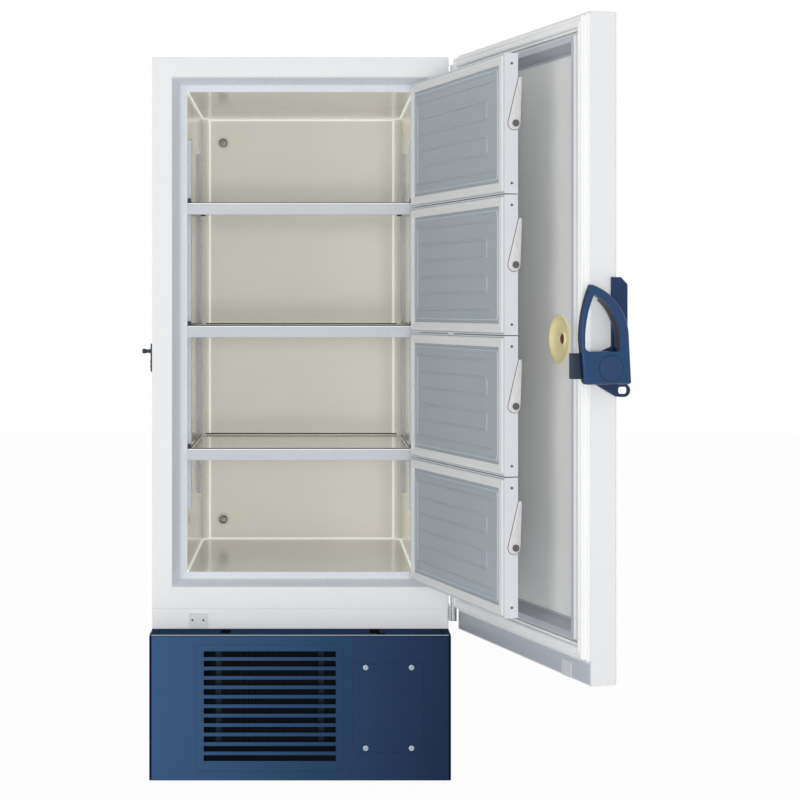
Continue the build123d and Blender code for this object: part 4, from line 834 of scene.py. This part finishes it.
# A big and a small round end with straight sides between them
def leverOutline(pivot, grow):
    end = (pivot.y + latch["shift"] * mm, pivot.z)
    tip = (pivot.y + latch["slope"][0] * mm, pivot.z + latch["slope"][1] * mm)
    lean = atan2(tip[1] - end[1], tip[0] - end[0])
    flare = acos((latch["end"] - latch["tip"]) * mm / hypot(tip[0] - end[0], tip[1] - end[1]))
    outline = []
    for (y, z), radius, first, last in ((end, latch["end"] + grow, lean + flare, lean + 2 * pi - flare),
                                        (tip, latch["tip"] + grow, lean - flare, lean + flare)):
        for k in range(25):
            angle = first + (last - first) * k / 24
            outline.append((y + radius * mm * cos(angle), z + radius * mm * sin(angle)))
    return outline


# A round head with a six-sided socket, lying on its side
def socketHead(x, pivot):
    def ring(x, size, sixSided=False):
        made = []
        for k in range(48):
            angle = 2 * pi * k / 48
            reach = size * (cos(pi / 6) / cos(angle % (pi / 3) - pi / 6) if sixSided else 1) * mm
            made.append((x, pivot.y + reach * cos(angle), pivot.z + reach * sin(angle)))
        return made

    outer = x - latch["headHeight"] * mm
    bottom = outer + latch["hexDepth"] * mm
    return ringMesh([ring(x, latch["head"]), ring(bottom, latch["head"]),
                     ring(outer, latch["head"] - latch["headEdge"]), ring(outer, latch["hex"], True),
                     ring(bottom, latch["hex"], True)], closed=False)


for n in range(1, doorCount + 1):
    body = f"inner_door_{n}"
    latchBody = f"inner_latch_{n}"
    box = flatBox(f"{body}_panel", body)
    rings = [frameRing(box, a * mm, y * mm, r * mm) for a, y, r in inner["panel"]]
    addPiece(f"innerPanel{n}", ringMesh(rings, closed=False), "inner_panel", body,
             [f"{body}_panel"])
    # Painted highlight: a lighter blue bead along the rolled border, where the border would catch light
    border = frameRing(box, inner["borderIn"] * mm, inner["borderY"] * mm, inner["borderCorner"] * mm)
    addBead(f"innerBorderHighlight{n}", [border + border[:2]], inner["border"], "borderHighlightBlue", body)
    low, high = shutBox(f"{body}_shell", body)
    addBead(f"innerRibs{n}", ribPaths(low, high), inner["rib"], "inner_panel", body,
            inner["ribBend"])
    addPiece(f"innerSeal{n}", frameSweep(flatBox(f"{body}_gasket", body), inner["seal"]), "gasket", body,
             [f"{body}_gasket"])
    edge = low.x + (latch["stud"] + inner["screwSunk"]) * mm
    inset = inner["screwIn"] * mm
    spots = [(edge, (low.y + high.y) / 2, z) for z in (low.z + inset, high.z - inset)]
    addScrews(f"innerScrews{n}", spots, (-1, 0, 0), *inner["screw"], "darkSteel", body)

    pivot = shutPivot(f"{latchBody}_pivot", body)
    face = shutBox(f"{body}_latch", body)[0].x + latch["off"] * mm
    back = face + latch["thick"] * mm
    # Painted shadow: a dark plate a little larger than the lever lies under it, so its rim draws the shadow gap
    # round the lever
    sunk, proud = [v * mm for v in latch["padDepth"]]
    pad = sidePlate([leverOutline(pivot, latch["pad"])], back - sunk, back + proud, proud)
    lever = sidePlate([leverOutline(pivot, 0)], face, back, latch["bevel"] * mm)
    addPiece(f"latchShadowPlate{n}", pad, "padGrey", latchBody)
    addPiece(f"latchLever{n}", lever, "latchWhite", latchBody, [f"{body}_latch"])
    addPiece(f"latchScrew{n}", socketHead(low.x + latch["headFoot"] * mm, pivot), "darkSteel", body)
print("inner doors dressed")


# Handle: a sail-shaped lever with a rolled edge, boss, claw in painted shade; bracket with padlock eye; keeper

handle = {"rear": 75, "front": 48, "skew": (6, 9), "rise": 194, "hip": 68, "drop": 37, "bars": (10, 23, 23),
          "shift": 6, "footRise": 39, "corner": 6, "depth": 39.5, "face": 20, "gripIn": 20, "gripBevel": 1.5,
          "rolls": [(9, 0), (6, 0.4), (3, 1.5), (1.1, 2.9), (0.2, 4), (0, 4.6)],
          "holeRolls": [(2, 0), (0.8, 0.3), (0.1, 1), (0, 1.4)],
          "boss": [(0.4, -3.2), (14, -3.1), (24, -2.7), (28, -2.2), (29.4, -1.2), (29.8, 0.8), (0.4, 0.8)],
          "line": 0.7, "ring": 30.6, "split": [(31, -2), (54, -3)],
          "litAndShadedBlues": ((0.005, 0.013, 0.034), (0.014, 0.055, 0.146)), "shadeDepth": (0.011, 0.003)}
claw = {"depth": 23.5, "rise": 15, "drop": 44, "root": 58, "slot": 8, "wall": 2.8, "rounds": (3, 4),
        "bevels": (0.9, 0.6), "overlap": 0.2}
bracket = {"plate": 8, "proud": 24, "wrap": 50, "rise": 211, "drop": 52, "chamfer": 17, "pin": 9,
           "eyeReach": 31, "eye": 14.5, "eyeRise": 14, "hole": (23, 17), "holeWall": 8, "holeCorner": 6,
           "gusset": 52, "foot": (8, 33), "stem": 41, "bevels": (1.8, 1.6), "overlap": 0.5,
           "eyeRim": 3.9, "eyeRimIn": 3.4}
keeper = {"above": 21, "pinIn": 14, "plate": 5.5, "bevel": 2.2, "screw": (6.2, 3), "screwPitch": 14,
          "spool": [(0.4, 23), (5.6, 23), (6.6, 22.2), (6.8, 17.5), (5.8, 13), (4.8, 9.5), (4.8, 7), (5.8, 4),
                    (6.2, -1), (0.4, -1)]}


# From the upright side at hip height, in one round sweep, to the apex
def sideArc(side, hip, apex, steps):
    rise = apex[1] - hip
    centre = (side ** 2 - apex[0] ** 2 - rise ** 2) / (2 * (side - apex[0]))
    radius = side - centre
    sweep = acos((apex[0] - centre) / radius)
    angles = [sweep * k / steps for k in range(steps)]
    return [(centre + radius * cos(a), hip + abs(radius) * sin(a), 0) for a in angles]


def sailFrame(pivot, bars, shift):
    rear = pivot.y / mm + handle["rear"] - bars[0]
    front = pivot.y / mm - handle["front"] + bars[1]
    apex = (pivot.y / mm + handle["front"] - shift, pivot.z / mm + handle["rise"] - bars[2])
    return rear, front, apex, pivot.z / mm + handle["hip"]


def sailOutline(pivot, bars, shift, foot, skew=(0, 0)):
    rear, front, apex, hip = sailFrame(pivot, bars, shift)
    radius = handle["corner"]
    corners = sideArc(rear, hip, apex, 14) + [(*apex, radius)] + list(reversed(sideArc(front, hip, apex, 18)))
    corners += [(front - skew[0], foot, radius), (rear - skew[1], foot, 2 * radius)]
    return [p * mm for p in softened(corners)]


# The grip behind the sail: its front bar and the block round the pivot
def gripOutline(pivot):
    rear, front, apex, hip = sailFrame(pivot, (0, 0, 0), 0)
    holeFront, holeApex = sailFrame(pivot, handle["bars"], handle["shift"])[1:3]
    foot = pivot.z / mm + handle["footRise"]
    bottom = pivot.z / mm - handle["drop"]
    inset = rear - handle["gripIn"]
    radius = handle["corner"]
    corners = list(reversed(sideArc(front, hip, apex, 18)[:14]))  # both arcs stop short of the apex
    corners += [(front - handle["skew"][0], bottom, radius), (inset - handle["skew"][1], bottom, radius),
                (inset, foot, radius), (holeFront, foot, 1)]
    corners += sideArc(holeFront, hip, holeApex, 18)[:15]
    return [p * mm for p in softened(corners)]


def insetOutline(points, distance):
    made = []
    for k, here in enumerate(points):
        before = (here - points[k - 1]).normalized()
        after = (points[(k + 1) % len(points)] - here).normalized()
        normal = Vector((-before.y - after.y, before.x + after.x)).normalized()
        made.append(here + normal * distance / max(0.55, normal.dot(Vector((-before.y, before.x)))))
    return made


# A plate along X with one hole, its outer edge and its hole's edge rounded apart from each other
def rolledPlate(outer, hole, back, front):
    work = bmesh.new()
    shells = []
    for outline, rolls, sign in ((outer, handle["rolls"], 1), (hole, handle["holeRolls"], -1)):
        loops = [[(back, p.x, p.y) for p in outline]]
        for x, inset in rolls:
            loops.append([(front + x * mm, p.x, p.y) for p in insetOutline(outline, sign * inset * mm)])
        made = [[work.verts.new(p) for p in loop] for loop in loops]
        for near, far in zip(made, made[1:]):
            for k in range(len(near)):
                after = (k + 1) % len(near)
                work.faces.new((near[k], near[after], far[after], far[k]))
        shells.append(made)
    for end in (0, -1):
        pair = [shell[end] for shell in shells]
        flat = pair[0] + pair[1]
        for tri in tessellate_polygon([[v.co for v in loop] for loop in pair]):
            work.faces.new([flat[i] for i in tri])
    mesh = bpy.data.meshes.new("rolledPlate")
    work.to_mesh(mesh)
    work.free()
    return outward(mesh)


pivot = shutPivot("handle_pivot", "outer_door")
back = shutBox("handle_lever", "outer_door")[1].x
front = back - handle["depth"] * mm
sailBack = front + handle["face"] * mm
sail = sailOutline(pivot, (0, 0, 0), 0, pivot.z / mm - handle["drop"], handle["skew"])
hole = sailOutline(pivot, handle["bars"], handle["shift"], pivot.z / mm + handle["footRise"])

# Painted shade: blue on the face, darker towards the door, so the rolled edges and the grip behind read as shaded
outwards = doorSwing.to_3x3() @ Vector((-1, 0, 0))
facePlane = outwards.dot(doorSwing @ Vector((front, 0, 0)))
sailShadedBlue = Finish("sailShadedBlue")
level = sailShadedBlue.along("X") * outwards.x + sailShadedBlue.along("Y") * outwards.y
deep, shallow = [facePlane - v for v in handle["shadeDepth"]]
paintedTone = sailShadedBlue.mix(sailShadedBlue.spread(level, deep, shallow, 0, 1), *handle["litAndShadedBlues"])
finishes["sailShadedBlue"] = sailShadedBlue.set(Base_Color=paintedTone, Roughness=0.22, Specular_IOR_Level=0.25)
addPiece("handleSail", rolledPlate(sail, hole, sailBack, front), "sailShadedBlue", "handle",
         ["handle_lever"], 32)
addPiece("handleGrip", sidePlate([gripOutline(pivot)], sailBack, back, handle["gripBevel"] * mm), "sailShadedBlue",
         "handle")

outToLeft = Matrix.Rotation(-pi / 2, 4, "Z")
boss = latheMesh(handle["boss"], Matrix.Translation((front, pivot.y, pivot.z)) @ outToLeft, 72)
addPiece("handleBoss", boss, "blue_plastic", "handle")
radius = handle["ring"] * mm
ring = [(front, pivot.y + radius * cos(2 * pi * k / 48), pivot.z + radius * sin(2 * pi * k / 48))
        for k in range(49)]
split = [(front, pivot.y + y * mm, pivot.z + z * mm) for y, z in handle["split"]]
addBead("handleLines", [ring, split], handle["line"], "clawBlue", "handle")

# The claw takes the keeper's pin in a slot that is open below and closed towards the user
keeperLow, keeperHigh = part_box("lock_striker")
pinY = keeperLow.y + keeper["pinIn"] * mm
pinZ = keeperHigh.z - keeper["above"] * mm
slot = claw["slot"] * mm
arch = [(pinY - slot * cos(pi * k / 16), pinZ + slot * sin(pi * k / 16)) for k in range(17)]
foot = pinZ - claw["drop"] * mm
top = pinZ + claw["rise"] * mm
root = pivot.y + claw["root"] * mm
end = pinY + slot + claw["wall"] * mm
clawFront = back - claw["depth"] * mm
clawWall = clawFront + claw["wall"] * mm
footRound, topRound = [v * mm for v in claw["rounds"]]
rind = softened([(root, foot, 0), (end, foot, footRound), (end, top, topRound), (root, top, 0)])
fork = [(root, foot), (pinY - slot, foot), *arch, (pinY + slot, foot), (end, foot), (end, top), (root, top)]
layers = [sidePlate([rind], clawFront, clawWall, claw["bevels"][0] * mm),
          sidePlate([fork], clawWall - claw["overlap"] * mm, back, claw["bevels"][1] * mm)]
# Painted shade: the claw's darker, greyer blue stands for the shade it sits in; the handle lines share that blue
# as dark joints
addPiece("handleClaw", joined(layers), "clawBlue", "handle")

plateBack = doorLow.x
plateFront = plateBack - bracket["plate"] * mm
near = doorLow.y - bracket["proud"] * mm
far = doorHigh.y - bracket["foot"][0] * mm
stem = near + bracket["stem"] * mm
top = pivot.z + bracket["rise"] * mm
nick = bracket["chamfer"] * mm
eyeRound = bracket["eye"] * mm
eyeFront = doorLow.y - bracket["eyeReach"] * mm
eyeY = eyeFront + eyeRound
eyeZ = pivot.z - bracket["drop"] * mm + bracket["eyeRise"] * mm - eyeRound
start = acos((near - eyeY) / eyeRound)
eyeAngles = [start + (1.5 * pi - start) * k / 14 for k in range(15)]
eyeArc = [(eyeY + eyeRound * cos(a), eyeZ + eyeRound * sin(a)) for a in eyeAngles]
shoulder = pivot.z + bracket["foot"][1] * mm
outline = [(far - bracket["gusset"] * mm, eyeZ - eyeRound), (far, eyeZ + eyeRound), (far, shoulder),
           (stem, shoulder + nick), (stem, top), (near + nick, top), (near, top - nick), *eyeArc]
wide, tall = [v * mm / 2 for v in bracket["hole"]]
holeY = eyeFront + bracket["holeWall"] * mm + wide
loop = softened([(holeY + a * wide, eyeZ + b * tall, bracket["holeCorner"] * mm)
                 for a, b in ((-1, -1), (-1, 1), (1, 1), (1, -1))])
plate = sidePlate([outline, loop], plateFront, plateBack, bracket["bevels"][0] * mm)
wrapFoot = eyeZ + eyeRound
outline = [(near, wrapFoot), (doorLow.y, wrapFoot), (doorLow.y, top), (near + nick, top), (near, top - nick)]
wrap = sidePlate([outline], plateBack - bracket["overlap"] * mm, plateBack + bracket["wrap"] * mm,
                 bracket["bevels"][1] * mm)
pinEnd = shutBox("handle_bracket", "outer_door")[0].x
reach = (plateFront - pinEnd) / mm
radius = bracket["pin"]
pin = latheMesh([(0.4, 0), (radius - 1, 0), (radius, 1), (radius, reach), (0.4, reach)],
                Matrix.Translation((pinEnd, pivot.y, pivot.z)) @ outToLeft, 40)
addPiece("handleBracket", joined([plate, wrap, pin]), "bracketBlue", "outer_door",
         ["handle_bracket"])
rimLoop = [(plateFront / 2 + plateBack / 2, p.x, p.y) for p in insetOutline(loop, bracket["eyeRimIn"] * mm)]
addBead("padlockEye", [rimLoop + rimLoop[:2]], bracket["eyeRim"], "bracketBlue", "outer_door")

face = keeperHigh.x - keeper["plate"] * mm
spool = latheMesh(keeper["spool"], Matrix.Translation((face, pinY, pinZ)) @ outToLeft.inverted(), 48)
plate = blockMesh((face, keeperLow.y, keeperLow.z), keeperHigh, keeper["bevel"] * mm, 4)
addPiece("keeperPlate", joined([plate, spool]), "black_steel", "cabinet", ["lock_striker"])
spots = [(face + screwSunk * mm, (keeperLow.y + keeperHigh.y) / 2,
          keeperLow.z + k * keeper["screwPitch"] * mm) for k in (1, 2)]
addScrews("keeperScrews", spots, (-1, 0, 0), *keeper["screw"], "darkSteel", "cabinet")
print("handle and keeper dressed")


# Base: ledge with slots and seams, side edges in painted shade, painted highlight along the fold, cover screws,
# condenser fins

base = {"slots": (-203, 203), "slot": (27, 62), "slotBack": 2, "spare": (219, 24, 20), "spareIn": 8,
        "seams": (-386, 386), "seam": 2, "seamIn": 6, "markBevels": (0.15, 0.1), "skin": 0.25, "sunk": 0.3,
        "ledgeIn": (2, 3), "edge": 6, "edgeDepth": 1, "edgeEnds": (1, 3), "fold": 1.5, "foldIn": 0.9,
        "screw": (7.5, 2.6)}
edge, skin = base["edge"] * mm, base["skin"] * mm
panTop = panHigh.z
ledgeFoot = panTop - base["sunk"] * mm
sideIn, frontIn = [v * mm for v in base["ledgeIn"]]
markBevel, seamBevel = [v * mm for v in base["markBevels"]]
ledge = blockMesh((panLow.x + sideIn, panLow.y + frontIn, ledgeFoot), (panHigh.x - sideIn, 0, panTop + skin),
                  markBevel)
addPiece("ledgeSheet", ledge, "ledgeNavy", "cabinet")
# Painted shade: near-black strips down the panel's left and right edges, where the rounded edges turn from the
# light
edgeFoot, edgeTop = [v * mm for v in base["edgeEnds"]]
edges = [blockMesh((x - edge / 2, panLow.y - skin, panLow.z + edgeFoot),
                   (x + edge / 2, panLow.y + base["edgeDepth"] * mm, panTop - edgeTop), markBevel)
         for x in (panLow.x + edge / 2, panHigh.x - edge / 2)]
addPiece("panEdgeShade", joined(edges), "edgeShadeNavy", "cabinet")
# Painted highlight: a grey bead along the top fold, where the fold would catch light
foldIn = base["foldIn"] * mm
fold = [(x, panLow.y + foldIn, panTop - foldIn) for x in (panLow.x + edge, panHigh.x - edge)]
addBead("panFoldHighlight", [fold], base["fold"], "foldPaintedHighlight", "cabinet")


def ledgeMark(x, wide, front, back, bevel):
    x0, x1 = (x - wide / 2) * mm, (x + wide / 2) * mm
    return blockMesh((x0, front, ledgeFoot), (x1, back, panTop + 2 * skin), bevel)


wide, deep = base["slot"]
slotBack = -base["slotBack"] * mm
marks = [ledgeMark(x, wide, -deep * mm, slotBack, markBevel) for x in base["slots"]]
x, wide, deep = base["spare"]
spareFront = panLow.y + base["spareIn"] * mm
marks.append(ledgeMark(x, wide, spareFront, spareFront + deep * mm, markBevel))
seamFront = panLow.y + base["seamIn"] * mm
marks += [ledgeMark(x, base["seam"], seamFront, slotBack, seamBevel) for x in base["seams"]]
addPiece("ledgeSlots", joined(marks), "matteBlack", "cabinet")

low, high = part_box("cover_screws")
inset = base["screw"][0] * mm
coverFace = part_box("service_cover")[0].y
spots = [(x, coverFace + screwSunk * mm, z) for x in (low.x + inset, high.x - inset)
         for z in (low.z + inset, high.z - inset)]
addScrews("coverScrews", spots, (0, -1, 0), *base["screw"], "brightSteel", "cabinet", ["cover_screws"])

cooler = {"fin": 0.5, "pitch": 6.4, "depth": 9, "finIn": 3, "tall": 0.97, "skirt": 26, "sheet": 1.6,
          "sealIn": 1, "sealTop": 3, "bevel": 0.4, "bay": 8, "bends": (50, 51), "bendRound": 4, "lip": (5, 3)}
low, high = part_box("condenser")
pitch = cooler["pitch"] * mm
# Painted shade: the fins are near-black and matte, for the shade behind the louvres
pack = fins.mesh([(0, 0, 0)], [], "finShadeBlack", {
    "Count": int((high.x - low.x) / pitch) - 1, "Pitch": (pitch, 0, 0),
    "Fin": (cooler["fin"] * mm, cooler["depth"] * mm, (high.z - low.z) * cooler["tall"])})
pack.transform(Matrix.Translation((low.x + pitch, low.y + cooler["finIn"] * mm, (low.z + high.z) / 2)))
addPiece("condenserFins", pack, "finShadeBlack", "cabinet")

# Air seal round the condenser: side sheets, top sheet and a folded sheet behind the low louvres, all matte black
# as painted shade for what shows through the louvres
grilleLow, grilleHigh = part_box("louvre_grille")
frontY = low.y + cooler["sealIn"] * mm
sheet, bevel = cooler["sheet"] * mm, cooler["bevel"] * mm
farLeft, farRight = grilleLow.x - cooler["skirt"] * mm, grilleHigh.x + cooler["skirt"] * mm
sealTop = panTop - cooler["sealTop"] * mm
seals = [blockMesh((x0, frontY, z), (x1, frontY + sheet, sealTop), bevel)
         for x0, x1, z in ((*sorted((low.x, farLeft)), low.z), (*sorted((high.x, farRight)), low.z),
                           (low.x, high.x, high.z))]
innerY = grilleHigh.y + cooler["bay"] * mm
bend, backBend = [grilleLow.z + v * mm for v in cooler["bends"]]
bendRound = cooler["bendRound"] * mm
lipFoot, lipTop = [low.z - v * mm for v in cooler["lip"]]
fold = softened([(innerY, grilleLow.z, 0), (innerY, bend, bendRound), (frontY, lipFoot, 0),
                 (frontY, lipTop, 0), (innerY - sheet, backBend, bendRound),
                 (innerY - sheet, grilleLow.z, 0)])
seals.append(barMesh(fold, farLeft, farRight))
addPiece("airSeals", joined(seals), "matteBlack", "cabinet")
print("base dressed")


# Stage, lights and camera

studio = {"floor": 14, "drop": 0.001, "floorWhite": 0.96, "soft": 0.54,
          "lamps": [("keyLeft", (-3.2, -3.6, 1.2), (0.1, -0.2, 0.95), 2.4, 37, True),
                    ("fillFront", (0.2, -8.0, 1.05), (0.1, 0.2, 1.0), 1.63, 208, False)],
          "lens": 83.37, "sensor": 36, "shift": (0.1125, -0.115), "eye": (0.0267, -5.09, 1.291)}


# Camera, mirror and glass rays see white in place of the lit surface
def whiteToRays(finish, kind, share, output):
    straight, mirrored, through = [finish.node("ShaderNodeLightPath", output=k) for k in (0, 3, 6)]
    seen = (straight + mirrored + through) > 0.5
    white = finish.node(kind, {}, {"Color": (1, 1, 1), "Strength": 1.0})
    lit = Tone(finish, finish.shader.outputs[0])
    blend = finish.node("ShaderNodeMixShader", {}, {0: seen * share, 1: lit, 2: white})
    finish.feed(finish.tree.nodes[output].inputs["Surface"], blend)


def onStage(thing):
    scene.collection.objects.link(thing)


floorFinish = Finish("stageFloor").set(Base_Color=(0.9, 0.9, 0.9), Roughness=0.9, Specular_IOR_Level=0.0)
whiteToRays(floorFinish, "ShaderNodeEmission", studio["floorWhite"], "Material Output")
floorMesh = bpy.data.meshes.new("floor")
reach, drop = studio["floor"], studio["drop"]
floorMesh.from_pydata([(-reach, -reach, -drop), (reach, -reach, -drop), (reach, reach, -drop),
                       (-reach, reach, -drop)], [], [(0, 1, 2, 3)])
floorMesh.materials.append(floorFinish.material)
onStage(bpy.data.objects.new("floor", floorMesh))

backdrop = Finish("studio", bpy.data.worlds, "Background").set(Color=(1, 1, 1), Strength=studio["soft"])
whiteToRays(backdrop, "ShaderNodeBackground", 1.0, "World Output")
scene.world = backdrop.material

for name, place, target, size, power, mirrored in studio["lamps"]:
    light = bpy.data.lights.new(name, "AREA")
    light.shape = "SQUARE"
    light.size = size
    light.energy = power
    lamp = bpy.data.objects.new(name, light)
    lamp.location = place
    lamp.rotation_euler = (Vector(target) - Vector(place)).to_track_quat("-Z", "Y").to_euler()
    lamp.visible_glossy = mirrored
    onStage(lamp)

camera = bpy.data.objects.new("camera", bpy.data.cameras.new("camera"))
camera.data.lens = studio["lens"]
camera.data.sensor_width = studio["sensor"]
camera.data.shift_x, camera.data.shift_y = studio["shift"]
camera.location = studio["eye"]
camera.rotation_euler = (pi / 2, 0, 0)
onStage(camera)
scene.camera = camera
scene.view_settings.view_transform = "Standard"
